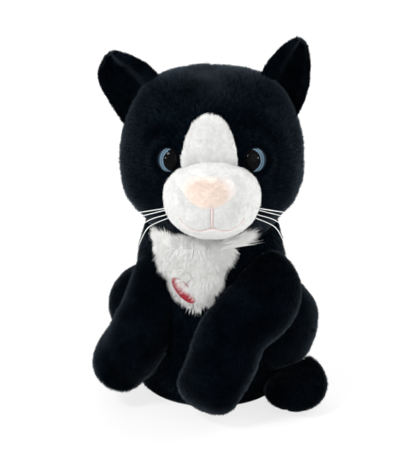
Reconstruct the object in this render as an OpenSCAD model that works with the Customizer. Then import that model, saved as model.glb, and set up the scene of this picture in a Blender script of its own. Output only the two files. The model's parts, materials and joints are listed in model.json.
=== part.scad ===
// Sitting plush kitten that turns its head and plays a sound when its chest is pressed.
// The kitten faces -Y, its left side is +X, and it stands on the plane z = 0.

/* [Torso] */
// Radius of the torso where it is widest
torso_radius = 51; // [48:0.5:56]
// Height of the widest part of the torso
torso_wide_z = 38; // [30:1:46]
// Radius of the torso where it meets the floor
torso_foot_radius = 45; // [43:0.5:48]
// Radius of the torso's top edge, under the head
neck_radius = 43; // [41:0.5:46]
// How late the torso narrows towards the neck
torso_taper = 1.7; // [1.2:0.1:2.4]
// Thickness of the plush cloth
skin_t = 2.5; // [1.5:0.5:3.5]

/* [Head] */
// Radius of the head
head_radius = 58.5; // [54:0.5:64]
// Height of the middle of the head
head_z = 157; // [152:1:164]
// Squareness of the head's profile, where 2 is round
head_squareness = 2.2; // [2:0.1:2.6]
// Angle by which the head is turned to its left at rest
head_turned = 22; // [-30:1:30]
// Radius of the openings in the head and the torso that the neck passes through
neck_opening = 16; // [12:1:20]
// Running gap between the head and the torso
head_gap = 0.7; // [0.4:0.1:1.5]

/* [Face] */
// Half of the muzzle's width
muzzle_half_w = 31; // [26:1:36]
// Height of the muzzle's widest line above the middle of the head
muzzle_dz = -9; // [-14:1:-4]
// Reach of the muzzle above its widest line
muzzle_up = 25; // [20:1:28]
// Reach of the muzzle below its widest line
muzzle_down = 23; // [18:1:26]
// How far the muzzle stands out of the head
muzzle_len = 25; // [18:1:32]
// Half of the nose's width
nose_half_w = 16; // [10:0.5:20]
// Height of the nose
nose_h = 14; // [10:0.5:18]
// Height of the middle of the nose above the middle of the head
nose_dz = 4; // [0:0.5:8]
// Thickness of the nose pad
nose_t = 1.6; // [1:0.2:3]
// Thickness of the white strip on the forehead
blaze_t = 1.2; // [0.8:0.2:2]
// Half of the forehead strip's width where it meets the muzzle
blaze_half_w = 17.5; // [12:0.5:22]
// Height of the top of the forehead strip above the middle of the head
blaze_top_dz = 45; // [36:1:50]
// Diameter of a safety eye
eye_d = 15; // [10:0.5:18]
// Distance of an eye from the middle of the face
eye_x = 27; // [22:0.5:32]
// Height of the eyes above the middle of the head
eye_dz = 15; // [12:0.5:22]
// Height of an eye's dome
eye_dome = 5; // [3:0.5:7]
// Diameter of a whisker
whisker_d = 0.7; // [0.5:0.1:1]
// Diameter of the mouth's thread
thread_d = 1.1; // [0.6:0.1:1.6]

/* [Ears] */
// Thickness of an ear
ear_t = 7; // [4:0.5:10]
// How far an ear is hollowed towards the front
ear_cup = 8; // [4:1:12]

/* [Legs and tail] */
// Half thickness of a foreleg
foreleg_half = 20; // [16:0.5:23]
// Distance of a thigh's middle from the middle of the body
thigh_x = 45.5; // [42:0.5:50]
// Half thickness of a thigh, side to side
thigh_half_x = 24; // [20:0.5:27]
// Radius of a thigh, seen from the side
thigh_half_r = 32; // [26:0.5:34]
// Half width of a hind foot
foot_half_w = 18; // [14:0.5:20]
// Half height of a hind foot
foot_half_h = 14; // [11:0.5:16]
// Half thickness of the tail
tail_half = 9; // [6:0.5:11]

/* [Bib and badge] */
// Thickness of the white bib
bib_t = 1.5; // [1:0.1:2.5]
// Height of the bib's lower tip
bib_tip_z = 62; // [56:1:68]
// Half angle of the bib at its top edge
bib_half_angle = 36; // [30:1:38]
// How full the bib's sides are: 1 is straight and less is fuller
bib_bow = 0.85; // [0.75:0.05:1.2]
// Length of the press badge
badge_l = 22; // [16:0.5:26]
// Width of the press badge
badge_w = 13; // [9:0.5:15]
// Tilt of the press badge
badge_tilt = -45; // [-90:5:90]
// Height of the press badge
badge_z = 84; // [80:0.5:88]
// Travel of the chest button
press_travel = 1.5; // [1:0.1:2]

/* [Base and battery] */
// Thickness of the base plate
base_t = 3.2; // [3:0.1:4]
// Diameter of a battery cell
cell_d = 10.5; // [10:0.1:11]
// Length of a battery cell
cell_l = 44.5; // [43:0.5:46]
// Wall of the battery box
box_wall = 1.5; // [1:0.1:2]
// Travel of the power switch
switch_travel = 4; // [2:0.5:5]

/* [Chassis] */
// Outer radius of the chassis
chassis_radius = 34; // [33:0.5:36]
// Wall of the chassis
chassis_wall = 2; // [1.6:0.1:2.4]
// Thickness of the two gearbox plates
plate_t = 2.4; // [2:0.1:3]
// Radius of the speaker
speaker_r = 15; // [12:0.5:16]

/* [Neck drive] */
// Module of the gears
gear_module = 0.6; // [0.5:0.05:0.62]
// Pressure angle of the gears
pressure_angle = 25; // [20:1:25]
// Play between the teeth of a pair of gears
backlash = 0.24; // [0.1:0.02:0.4]
// Width of a gear's face
gear_face = 4; // [3:0.2:4.6]
// Radius of the neck shaft
shaft_r = 3; // [2.5:0.1:3.2]
// Radius of a gear axle
axle_r = 1; // [0.8:0.05:1.2]
// Radius of the motor's can
motor_r = 8; // [6:0.5:9]
// Length of the motor's can
motor_l = 20; // [16:0.5:22]

/* [Clearances] */
// Gap between pieces that only lie together
fit_gap = 0.3; // [0.2:0.05:0.5]
// Radial clearance of a running shaft
run_gap = 0.05; // [0.03:0.01:0.1]
// Radial clearance of a fixed pin or screw
pin_gap = 0.02; // [0.01:0.01:0.05]
// Gap between two stuffed pieces
soft_gap = 0.5; // [0.4:0.05:0.9]

/* [Hidden] */

// Colours
black_plush = "#16181d";
white_plush = "#f2f2ee";
peach = "#fbe2d4";
plastic_grey = "#5a5f66";
plastic_white = "#e6e6e2";
steel = "#b9bcc0";
brass = "#c9a64b";

// Facets of true round pieces
$fn = 72;
// The floor clearance of the stuffed paws and of the torso's hem
floor_gap = 0.6;

// Small helpers for points and curves
function unit(v) = v / norm(v);
function xyz(q) = [q[0], q[1], q[2]];
function signed_pow(v, e) = sign(v) * pow(abs(v), e);
// The curve through a list of stations, at t from 0 to 1
function along(list, t) =
    let (n = len(list) - 1, k = min(floor(t * n), n - 1), f = t * n - k)
    let (a = list[max(k - 1, 0)], b = list[k], c = list[k + 1], d = list[min(k + 2, n)])
    0.5 * (2 * b + (c - a) * f + (2 * a - 5 * b + 4 * c - d) * f * f + (3 * b - a - 3 * c + d) * f * f * f);
// Share of the full thickness at s, for a round end of length c
function round_end(s, c) = s >= c ? 1 : sqrt(max(0, 1 - pow(1 - s / c, 2)));
// Cosine steps crowd the rings towards both ends of a limb
function ring_at(i, rings) = (1 - cos(180 * i / (rings + 1))) / 2;

// A closed form through rings of points, with a point at each end
module loft(first, rings, last) {
    m = len(rings);
    n = len(rings[0]);
    at = function (i, j) 1 + i * n + j % n;
    end = 1 + m * n;
    sides = [for (i = [0 : m - 2]) for (j = [0 : n - 1]) each [
        [at(i, j), at(i, j + 1), at(i + 1, j + 1)],
        [at(i, j), at(i + 1, j + 1), at(i + 1, j)]
    ]];
    caps = [for (j = [0 : n - 1]) each [
        [0, at(0, j + 1), at(0, j)],
        [end, at(m - 1, j), at(m - 1, j + 1)]
    ]];
    polyhedron(points = concat([first], [for (r = rings) each r], [last]), faces = concat(sides, caps));
}

// A thin round tube along a list of points
module tube(path, r, rings, up = [0, 0, 1]) {
    sides = 6;
    dir = function (s) unit(along(path, min(s + 0.01, 1)) - along(path, max(s - 0.01, 0)));
    ring = function (s) let (d = dir(s), u = unit(cross(d, up)), v = cross(u, d))
        [for (j = [0 : sides - 1]) let (a = 360 * j / sides) along(path, s) + r * (u * cos(a) + v * sin(a))];
    loft(path[0], [for (i = [0 : rings]) ring(i / rings)], path[len(path) - 1]);
}

// A coil spring standing on z = 0
module coil(r, wire_r, h, turns) {
    steps = 8 * turns;
    sides = 6;
    ring = function (i) let (a = 360 * i / 8, z = wire_r + (h - 2 * wire_r) * i / steps)
        [for (j = [0 : sides - 1]) let (b = -360 * j / sides)
            [(r + wire_r * cos(b)) * cos(a), (r + wire_r * cos(b)) * sin(a), z + wire_r * sin(b)]];
    loft([r, 0, wire_r], [for (i = [0 : steps]) ring(i)],
         [r * cos(45 * steps), r * sin(45 * steps), h - wire_r]);
}

// The head is a superellipse turned about the neck axis
function head_r(z, grow = 0) = let (a = head_radius + grow, d = min(1, abs(z - head_z) / a))
    a * pow(1 - pow(d, head_squareness), 1 / head_squareness);
function head_low(r, grow = 0) = let (a = head_radius + grow)
    head_z - a * pow(1 - pow(r / a, head_squareness), 1 / head_squareness);
// The head's half outline between two angles of its curve
function head_arc(grow, from, to, steps) = [for (i = [0 : steps])
    let (t = from + (to - from) * i / steps, a = head_radius + grow)
    [a * pow(max(0, cos(t)), 2 / head_squareness), head_z + a * signed_pow(sin(t), 2 / head_squareness)]];
function head_angle(r, grow = 0) = -acos(pow(r / (head_radius + grow), head_squareness / 2));

// The torso's side, and the seat that the head lies in
rim_z = head_low(neck_radius) - head_gap;
function seat_z(r) = head_low(r) - head_gap;
function torso_r(z) = z < torso_wide_z
    ? torso_radius - (torso_radius - torso_foot_radius) * pow((torso_wide_z - z) / torso_wide_z, 2)
    : torso_radius - (torso_radius - neck_radius)
        * pow(min(1, (z - torso_wide_z) / (rim_z - torso_wide_z)), torso_taper);
function torso_side(inset, from, to, steps) = [for (i = [0 : steps])
    let (z = from + (to - from) * i / steps) [torso_r(z) - inset, z]];
function torso_seat(drop, from, to, steps) = [for (i = [0 : steps])
    let (r = from + (to - from) * i / steps) [r, seat_z(r) - drop]];

// Stuffed pieces stand clear of the floor
function off_floor(p) = [p.x, p.y, max(p.z, floor_gap)];
thigh_mid = [thigh_x, 8, 44];

// Chest button, from the skin inwards
badge_x = 2;
badge_t = 1.6;
stem_r = 4;
badge_rim = [for (a = [0 : 15 : 345]) let (u = badge_l / 2 * cos(a), v = badge_w / 2 * sin(a))
    [badge_x + u * cos(badge_tilt) - v * sin(badge_tilt),
     badge_z + u * sin(badge_tilt) + v * cos(badge_tilt)]];
bib_lead = max([for (q = badge_rim) sqrt(pow(torso_r(q[1]) + fit_gap + bib_t, 2) - q[0] * q[0])]);
badge_back_y = -bib_lead - press_travel - fit_gap;
housing_r = 8.5;
housing_bore = 6.2;
housing_front_y = -torso_r(badge_z + housing_r) + skin_t + 0.6;
housing_lip = 1.2;
plunger_flange_r = housing_bore - 0.2;
plunger_flange_t = 1.2;
flange_front_y = housing_front_y + housing_lip + 0.1;
flange_back_y = flange_front_y + plunger_flange_t;
button_switch_l = 3.6;
button_tip_y = flange_back_y + press_travel + 0.1;
housing_floor_y = button_tip_y + button_switch_l;
housing_back_y = housing_floor_y + 2.5;

// Heights of the chassis and of the gear layers
chassis_top = seat_z(neck_opening) - skin_t - 1.5;
gear_step = gear_face + 1;
gear_layers = 3;
deck_top = chassis_top - plate_t - gear_layers * gear_step - 1;
deck_low = deck_top - plate_t;
chassis_in = chassis_radius - chassis_wall;
plate_r = chassis_in - fit_gap;
ledge_w = 2.5;
ledge_t = 2;
function layer_z(k) = deck_top + 1 + k * gear_step;

// Teeth of the neck drive and the places of its axes
motor_teeth = 10;
gear_1_teeth = [40, 12];
gear_2_teeth = [36, 12];
neck_teeth = 42;
neck_mesh_dir = 20;
middle_mesh_dir = 136;
motor_mesh_dir = 196;
function mesh_distance(a, b) = gear_module * (a + b) / 2;
function polar(r, a) = [r * cos(a), r * sin(a)];
gear_2_at = polar(mesh_distance(neck_teeth, gear_2_teeth[1]), neck_mesh_dir);
gear_1_at = gear_2_at + polar(mesh_distance(gear_2_teeth[0], gear_1_teeth[1]), middle_mesh_dir);
motor_at = gear_1_at + polar(mesh_distance(gear_1_teeth[0], motor_teeth), motor_mesh_dir);
post_dirs = [190, 250, 310];
post_r = 3;
post_at = plate_r - post_r - 1;

// Base, battery box and its door
base_radius = torso_foot_radius - skin_t - fit_gap;
cell_y = 17.5;
cell_x = cell_d / 2 + 0.1;
cell_low = 5;
box_in_x = cell_d + 0.3;
box_in_y = cell_d / 2 + 0.25;
box_top = cell_low + cell_l + 2.2;
motor_low = deck_low - motor_l;
door_low = 0.4;
door_t = 1.6;
door_half_x = box_in_x + 0.3;
door_gap = 0.3;
hinge_y = cell_y - box_in_y - 2.6;
hinge_z = 1.6;
hinge_pin_r = 0.8;
knuckle_r = 1.6;
knuckle_half = 7;
lug_l = 3.4;
lug_reach = 1.2;
door_screw_y = cell_y + box_in_y + 4.7;
door_tab_half = 4;
base_screw_at = chassis_in - 2.6;
base_screw_dirs = [45, 135, 225, 315];
switch_y = -18;
screw_r = 1.25;
boss_r = 3;

// Chassis screws lie along Y at the split between the two halves
chassis_screw_x = chassis_in - 3.4;
chassis_screw_z = [18, deck_low - 12];
chassis_screw_depth = 8;
speaker_z = 42;
speaker_y = -sqrt(pow(chassis_in, 2) - pow(speaker_r + 0.6, 2));

// Head plate on the neck shaft
head_plate_r = 22;
head_plate_t = 3;
head_plate_z = head_low(head_plate_r, -skin_t) + fit_gap;
head_plate_top = head_plate_z + head_plate_t;
hub_r = 7;
bush_r = 5.5;
bush_flange_t = 1;
hub_low = chassis_top + bush_flange_t + fit_gap;

// Places on the face, in the head's own frame, facing -Y
muzzle_z = head_z + muzzle_dz;
muzzle_edge = 1;
function muzzle_reach(z) = z > muzzle_z ? muzzle_up : muzzle_down;
function muzzle_level(x, z) = pow(
    pow(abs(x) / muzzle_half_w, head_squareness)
    + pow(abs(z - muzzle_z) / muzzle_reach(z), head_squareness), 1 / head_squareness);
function muzzle_rim(a) = [
    muzzle_half_w * signed_pow(cos(a), 2 / head_squareness),
    (sin(a) > 0 ? muzzle_up : muzzle_down) * signed_pow(sin(a), 2 / head_squareness)];
function muzzle_rim_z(x) = muzzle_z
    + muzzle_up * pow(1 - pow(abs(x) / muzzle_half_w, head_squareness), 1 / head_squareness);
function head_front(x, z) = sqrt(max(0, pow(head_r(z), 2) - x * x));
function muzzle_back(x, z) = head_front(x, z) + soft_gap;
function muzzle_front(x, z) = muzzle_back(x, z) + muzzle_edge
    + muzzle_len * sqrt(max(0, 1 - pow(muzzle_level(x, z), 2.6)));
eye_z = head_z + eye_dz;
eye_dir = asin(eye_x / head_r(eye_z));
eye_slope = head_squareness - 1;
eye_tilt = atan2(pow(eye_dz / head_radius, eye_slope), pow(head_r(eye_z) / head_radius, eye_slope));
eye_shank_r = 2;
eye_shank_l = 9;
washer_r = 6.5;
washer_t = 1.2;
washer_depth = skin_t + pow(washer_r, 2) / (2 * head_radius) + fit_gap;

// Limb stations are [x, y, z, width, height], the last two as shares of the limb's half thickness
left_foreleg_path = [
    [36, -9, 93, 1.05, 1.05], [38, -26, 76, 1.12, 1.1], [33, -42, 57, 1.15, 1.05], [28, -53, 38, 1.1, 1],
    [23, -61, 23, 1.1, 0.9], [19, -70, 13, 1, 0.65]
];
right_foreleg_path = [
    [-26, -16, 94, 0.95, 0.95], [-30, -33, 76, 1, 1], [-33, -43, 57, 1.02, 1], [-38, -47, 40, 1, 1],
    [-44, -49, 25, 1.06, 0.9], [-49, -51, 13, 1.05, 0.65]
];
// Foot stations are [x, y, z, width, height], shares of the foot's half width and half height
left_foot_path = [
    [50, 8, 15, 0.9, 1], [60, -4, 15, 1, 1], [67, -16, 15, 1, 1], [71, -29, 12, 0.9, 0.8]
];
right_foot_path = [
    [-40, 16, 15, 0.8, 1], [-52, 17, 15, 0.9, 1], [-64, 16, 15, 0.9, 1], [-76, 14, 12, 0.75, 0.8]
];
tail_path = [
    [6, 46, 16, 1, 1], [2, 60, 13, 1, 1], [-16, 69, 11, 1, 1], [-38, 68, 11, 1, 1], [-56, 60, 11, 1, 1],
    [-70, 46, 11, 0.9, 0.9]
];
// Ear edges are [x, height above the middle of the head], from the head to the tip
left_ear_inner = [[24, 40], [35, 62], [46, 73], [56, 78]];
left_ear_outer = [[48, 14], [60, 40], [63, 60], [60, 75]];
right_ear_inner = [[-24, 40], [-39, 60], [-54, 67], [-64, 69]];
right_ear_outer = [[-50, 12], [-65, 36], [-73, 53], [-69, 66]];
ear_back = 5;
// Whiskers on the kitten's left, [x, z above the middle of the head] of root, middle and tip
whisker_roots = [[29, -12], [30, -15], [29, -18], [28, -21]];
whisker_middles = [[42, -13], [42, -17], [42, -22], [40, -26]];
whisker_tips = [[53, -15], [53, -20], [52, -36], [46, -38]];

// The room that the torso, the head and a thigh take from the limbs that lie on them
module torso_room() {
    rotate_extrude() polygon(concat(
        [[0, -1]], [[torso_r(0) + soft_gap, -1]], torso_side(-soft_gap, 0, rim_z, 10), [[0, rim_z]]));
}

module head_room() {
    rotate_extrude() polygon(head_arc(head_gap, -90, 90, 20));
}

module thigh_form(side, grow) {
    long = thigh_half_x + grow;
    wide = thigh_half_r + grow;
    translate([side * thigh_mid.x, thigh_mid.y, thigh_mid.z]) rotate([0, 90, 0]) rotate_extrude()
        polygon([for (i = [0 : 12]) let (t = -90 + 15 * i) [wide * max(0, cos(t)), long * sin(t)]]);
}

// A limb with round ends along a path
module limb(path, half_w, half_h, rings, sides, cap_in, cap_out) {
    flow = function (s) unit(xyz(along(path, min(s + 0.02, 1))) - xyz(along(path, max(s - 0.02, 0))));
    ring = function (s) let (q = along(path, s), c = xyz(q), d = flow(s))
        let (u = unit(cross(d, [0, 0, 1])), v = cross(u, d))
        let (m = round_end(s, cap_in) * round_end(1 - s, cap_out))
        [for (j = [0 : sides - 1]) let (a = 360 * j / sides)
            off_floor(c + m * (u * half_w * q[3] * cos(a) + v * half_h * q[4] * sin(a)))];
    loft(xyz(path[0]), [for (i = [1 : rings]) ring(ring_at(i, rings))], xyz(path[len(path) - 1]));
}

module foreleg(path, side) {
    color(black_plush) difference() {
        limb(path, foreleg_half, foreleg_half, 20, 22, 0.16, 0.16);
        torso_room();
        head_room();
        thigh_form(side, soft_gap);
    }
}

module thigh(side) {
    color(black_plush) difference() {
        thigh_form(side, 0);
        torso_room();
    }
}

module hind_foot(path, side) {
    color(black_plush) difference() {
        limb(path, foot_half_w, foot_half_h, 14, 20, 0.25, 0.3);
        torso_room();
        thigh_form(side, soft_gap);
    }
}

module tail() {
    color(black_plush) difference() {
        limb(tail_path, tail_half, tail_half, 18, 14, 0.06, 0.1);
        torso_room();
    }
}

// Cloth and stuffing of the torso
module body_skin() {
    inner_top = seat_z(neck_radius - skin_t) - skin_t;
    color(black_plush) difference() {
        rotate_extrude() polygon(concat(
            torso_side(0, floor_gap, rim_z, 18),
            torso_seat(0, neck_radius - 1, neck_opening, 8),
            torso_seat(skin_t, neck_opening, neck_radius - skin_t - 0.5, 8),
            torso_side(skin_t, inner_top - 0.6, floor_gap, 18)));
        translate([badge_x, 0, badge_z]) rotate([90, 0, 0]) cylinder(r = stem_r + 0.8, h = 2 * torso_radius);
    }
}

module body_stuffing() {
    inset = skin_t + fit_gap;
    low = base_t + fit_gap;
    outer_r = neck_radius - inset - 0.5;
    inner_r = chassis_radius + fit_gap;
    color("white") difference() {
        rotate_extrude() polygon(concat(
            torso_side(inset, low, seat_z(outer_r) - inset - 0.8, 16),
            torso_seat(inset, outer_r, inner_r, 3),
            [[inner_r, low]]));
        translate([badge_x, 0, badge_z]) rotate([90, 0, 0])
            cylinder(r = housing_r + fit_gap, h = 2 * torso_radius);
    }
}

module bib() {
    top_z = rim_z - 1.5;
    lean = 7;
    steps = 10;
    share = function (z) (z - bib_tip_z) / (top_z - bib_tip_z);
    edge = function (z, side) let (k = share(z))
        torso_r(z) * sin(lean * (1 - k / 2) + side * bib_half_angle * pow(k, bib_bow));
    outline = [for (side = [1, -1]) for (i = [0 : steps])
        let (z = side > 0 ? bib_tip_z + (top_z - bib_tip_z) * i / steps
                          : top_z - (top_z - bib_tip_z) * i / steps)
        if (side > 0 || i < steps) [edge(z, side), z]];
    color(white_plush) difference() {
        intersection() {
            rotate_extrude() polygon(concat(
                torso_side(-fit_gap - bib_t, bib_tip_z - 2, top_z, 8),
                torso_side(-fit_gap, top_z, bib_tip_z - 2, 8)));
            rotate([90, 0, 0]) linear_extrude(height = 2 * torso_radius) polygon(outline);
        }
        translate([badge_x, 0, badge_z]) rotate([90, 0, 0]) cylinder(r = stem_r + 0.8, h = 2 * torso_radius);
    }
}

// Base of the body
module base_plate() {
    open_y = hinge_y - knuckle_r - door_gap;
    box_back = cell_y + box_in_y + 0.4;
    tab_h = door_low + door_t + door_gap;
    color(plastic_grey) {
        difference() {
            union() {
                cylinder(r = base_radius, h = base_t);
                translate([0, door_screw_y, base_t]) cylinder(r = 2.8, h = 4);
            }
            translate([-door_half_x - door_gap, open_y, -1])
                cube([2 * (door_half_x + door_gap), box_back - open_y, base_t + 2]);
            translate([-door_tab_half - door_gap, box_back - 1, -1])
                cube([2 * (door_tab_half + door_gap), door_screw_y + 3.3 - box_back + 1, tab_h + 1]);
            translate([0, door_screw_y, -1]) cylinder(r = 1.8, h = base_t + 6);
            for (a = base_screw_dirs) rotate(a) translate([base_screw_at, 0, -1]) {
                cylinder(r = screw_r + 0.25, h = base_t + 2);
                cylinder(r = 3, h = 2.6);
            }
            translate([-switch_travel / 2 - 2.3, switch_y - 2, -1])
                cube([switch_travel + 4.6, 4, base_t + 2]);
        }
        for (s = [-1, 1]) difference() {
            translate([s * (knuckle_half + door_gap + lug_l / 2) - lug_l / 2, open_y - 0.5, 0])
                cube([lug_l, hinge_y + lug_reach - open_y + 0.5, base_t]);
            translate([-50, hinge_y, hinge_z]) rotate([0, 90, 0])
                cylinder(r = hinge_pin_r + pin_gap, h = 100);
        }
    }
}

// A screw whose head's flat top lies at z = 0, pointing up
module screw(r, head_r, head_h, l) {
    cylinder(r = head_r, h = head_h);
    cylinder(r = r, h = l);
}

module base_screws() {
    color(steel) for (a = base_screw_dirs) rotate(a) translate([base_screw_at, 0, 0.4])
        screw(screw_r, 2.7, 1.2, 9);
}

module battery_box() {
    out_x = box_in_x + box_wall;
    out_y = box_in_y + box_wall;
    color(plastic_white) difference() {
        union() {
            translate([-out_x, cell_y - out_y, base_t])
                cube([2 * out_x, 2 * out_y, box_top + box_wall - base_t]);
            for (x = [-8, 8]) for (z = [14, 40]) translate([x, cell_y - out_y, z]) rotate([90, 0, 0])
                cylinder(r = 2, h = 2);
        }
        translate([-box_in_x, cell_y - box_in_y, base_t - 1])
            cube([2 * box_in_x, 2 * box_in_y, box_top - base_t + 1]);
    }
}

module batteries() {
    nub = 1;
    color(brass) for (s = [-1, 1]) translate([s * cell_x, cell_y, cell_low]) {
        cylinder(r = cell_d / 2, h = cell_l - nub);
        cylinder(r = 1.9, h = cell_l);
    }
}

module battery_contact() {
    color(steel) translate([-box_in_x + 0.3, cell_y - 3, cell_low + cell_l + 0.1]) {
        cube([2 * box_in_x - 0.6, 6, 0.5]);
        translate([box_in_x - 1.3, 2, 0]) cube([2, 2, 1.9]);
    }
}

module battery_springs() {
    low = door_low + door_t + 0.05;
    color(steel) for (s = [-1, 1]) translate([s * cell_x, cell_y, low])
        coil(3, 0.35, cell_low - low - 0.05, 3);
}

module battery_door() {
    front = hinge_y + norm([lug_reach, hinge_z]) + door_gap;
    back = cell_y + box_in_y + 0.1;
    color(plastic_grey) difference() {
        union() {
            translate([-door_half_x, front, door_low]) cube([2 * door_half_x, back - front, door_t]);
            translate([-door_tab_half, back - 1, door_low])
                cube([2 * door_tab_half, door_screw_y + 3 - back + 1, door_t]);
            translate([-knuckle_half, hinge_y, door_low])
                cube([2 * knuckle_half, front - hinge_y + 1, door_t]);
            translate([-knuckle_half, hinge_y, hinge_z]) rotate([0, 90, 0])
                cylinder(r = knuckle_r - 0.1, h = 2 * knuckle_half);
        }
        translate([-50, hinge_y, hinge_z]) rotate([0, 90, 0]) cylinder(r = hinge_pin_r + run_gap, h = 100);
        translate([0, door_screw_y, -1]) cylinder(r = 1.3, h = 6);
        translate([0, door_screw_y, -1]) cylinder(r = 2.4, h = 2.4);
        for (x = [-6 : 3 : 6]) translate([x - 0.6, cell_y - 3, door_low - 1]) cube([1.2, 6, 1.4]);
    }
}

module battery_door_screw() {
    color(steel) translate([0, door_screw_y, door_low]) screw(1.15, 2.25, 0.9, 4.6);
}

module door_hinge_pin() {
    half = knuckle_half + door_gap + lug_l;
    color(steel) translate([-half, hinge_y, hinge_z]) rotate([0, 90, 0])
        cylinder(r = hinge_pin_r, h = 2 * half);
}

module power_switch() {
    half = switch_travel / 2 + 4.5;
    color(plastic_white) translate([-half, switch_y - 3.5, base_t]) cube([2 * half, 7, 5]);
}

module power_switch_knob() {
    color("black") translate([-switch_travel / 2 - 2, switch_y - 1.7, floor_gap]) difference() {
        cube([4, 3.4, base_t - floor_gap - 0.05]);
        for (x = [0.7 : 1 : 2.7]) translate([x, -1, -0.4]) cube([0.6, 6, 0.8]);
    }
}

// Electronics
module circuit_board() {
    board_y = cell_y - box_in_y - box_wall - 2;
    color("#1f6b3a") {
        translate([-16, board_y - 1.6, 8]) cube([32, 1.6, 38]);
        translate([-5, board_y - 3.1, 22]) cube([10, 1.6, 10]);
        for (x = [-11, 10]) translate([x, board_y - 1.5, 38]) rotate([90, 0, 0]) cylinder(r = 2.5, h = 5);
    }
}

module speaker_frame() {
    color(plastic_grey) translate([0, speaker_y, speaker_z]) rotate([-90, 0, 0]) rotate_extrude() polygon([
        [speaker_r - 2.5, 0], [speaker_r, 0], [speaker_r, 1], [speaker_r - 1.5, 1], [7.5, 5.5], [7.5, 9.5],
        [0, 9.5], [0, 7], [5, 7], [speaker_r - 2.5, 1.4]
    ]);
}

module speaker_cone() {
    rim = speaker_r - 2.5 - fit_gap;
    color("#303030") translate([0, speaker_y, speaker_z]) rotate([-90, 0, 0]) rotate_extrude() polygon([
        [rim, 0.2], [rim, 1], [4.6, 6.2], [0, 5], [0, 4.4], [4.4, 5.4]
    ]);
}

module wires() {
    board_y = cell_y - box_in_y - box_wall - 3.6;
    start_y = board_y - 0.2;
    terminal_y = speaker_y + 9.5;
    color("#b02a2a") for (s = [-1, 1]) {
        x = motor_at.x + 3 * s;
        tube([[x, start_y, 43], [x, start_y - 3, 44.5], [x, start_y - 4, 48],
              [x, start_y - 3.4, motor_low - 3],
              [x, start_y - 2, motor_low - 0.3]], 0.6, 14, [1, 0, 0]);
        tube([[3 * s, start_y, 17], [3 * s, start_y - 6, 18], [3 * s, start_y - 13, 24],
              [3 * s, terminal_y + 8, 36], [3 * s, terminal_y + 4, 41],
              [3 * s, terminal_y + 0.3, speaker_z]], 0.6, 16, [1, 0, 0]);
    }
}

// Chassis
module chassis_half(front) {
    reach = chassis_radius - chassis_wall / 2;
    screw_boss_r = 4;
    boss_l = 14;
    color(plastic_white) difference() {
        union() {
            rotate_extrude() polygon([
                [chassis_in, base_t], [chassis_radius, base_t], [chassis_radius, chassis_top],
                [chassis_in, chassis_top], [chassis_in, deck_low], [chassis_in - ledge_w, deck_low],
                [chassis_in - ledge_w, deck_low - ledge_t], [chassis_in, deck_low - ledge_t - ledge_w]
            ]);
            for (a = base_screw_dirs) if ((a > 180) == front)
                rotate(a) translate([base_screw_at, 0, base_t + 0.3]) cylinder(r = boss_r, h = 7.7);
            intersection() {
                for (x = [-1, 1]) for (z = chassis_screw_z)
                    translate([x * chassis_screw_x, boss_l, z]) rotate([90, 0, 0])
                        cylinder(r = screw_boss_r, h = 2 * boss_l);
                cylinder(r = reach, h = chassis_top);
            }
            if (front) intersection() {
                translate([0, speaker_y - 0.1, speaker_z]) rotate([90, 0, 0]) difference() {
                    cylinder(r = speaker_r, h = 20);
                    translate([0, 0, -1]) cylinder(r = speaker_r - 2.4, h = 22);
                }
                cylinder(r = reach, h = chassis_top);
            }
        }
        translate([-50, front ? -0.05 : -99.95, 0]) cube([100, 100, 2 * chassis_top]);
        for (a = base_screw_dirs) if ((a > 180) == front)
            rotate(a) translate([base_screw_at, 0, base_t - 1]) cylinder(r = screw_r + pin_gap, h = 8);
        for (x = [-1, 1]) for (z = chassis_screw_z)
            translate([x * chassis_screw_x, 0, z]) rotate([90, 0, 0]) {
                translate([0, 0, -30]) cylinder(r = screw_r + pin_gap, h = 38);
                if (!front) translate([0, 0, -60]) cylinder(r = 2.9, h = 60 - chassis_screw_depth);
            }
        if (front) along_button(-2 * torso_radius)
            cylinder(r = housing_r + fit_gap, h = 2 * torso_radius + housing_back_y + fit_gap);
        if (front) for (k = [0 : 6]) let (r = k == 0 ? 0 : 6)
            translate([r * cos(60 * k), 0, speaker_z + r * sin(60 * k)]) rotate([90, 0, 0])
                cylinder(r = 1.6, h = 60);
    }
}

module chassis_front() {
    chassis_half(true);
}

module chassis_rear() {
    chassis_half(false);
}

module chassis_screws() {
    color(steel) for (x = [-1, 1]) for (z = chassis_screw_z)
        translate([x * chassis_screw_x, chassis_screw_depth + 1.6, z]) rotate([90, 0, 0])
            screw(screw_r, 2.6, 1.6, 15);
}

// Involute teeth: the half angle of a tooth at a radius
function involute(a) = tan(a) * 180 / PI - a;
function tooth_half(teeth, r) =
    let (pitch_r = gear_module * teeth / 2, base_r = pitch_r * cos(pressure_angle))
    let (thick = PI * gear_module / 2 - backlash / 2)
    thick / (2 * pitch_r) * 180 / PI + involute(pressure_angle) - involute(acos(min(1, base_r / r)));
function gear_outline(teeth) =
    let (pitch_r = gear_module * teeth / 2, base_r = pitch_r * cos(pressure_angle))
    let (root = pitch_r - 1.05 * gear_module, tip = pitch_r + 0.8 * gear_module, low = max(root, base_r))
    let (radii = [root, low + 0.01, (low + pitch_r) / 2, pitch_r, (pitch_r + tip) / 2, tip])
    [for (k = [0 : teeth - 1]) each concat(
        [for (i = [0 : 5]) polar(radii[i], 360 * k / teeth - tooth_half(teeth, max(radii[i], base_r)))],
        [for (i = [5 : -1 : 0])
            polar(radii[i], 360 * k / teeth + tooth_half(teeth, max(radii[i], base_r)))])];
// A gear with a tooth pointing to the given direction, or a gap there
module gear(teeth, dir, gap, h) {
    rotate(dir + (gap ? 180 / teeth : 0)) linear_extrude(height = h) polygon(gear_outline(teeth));
}
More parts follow.
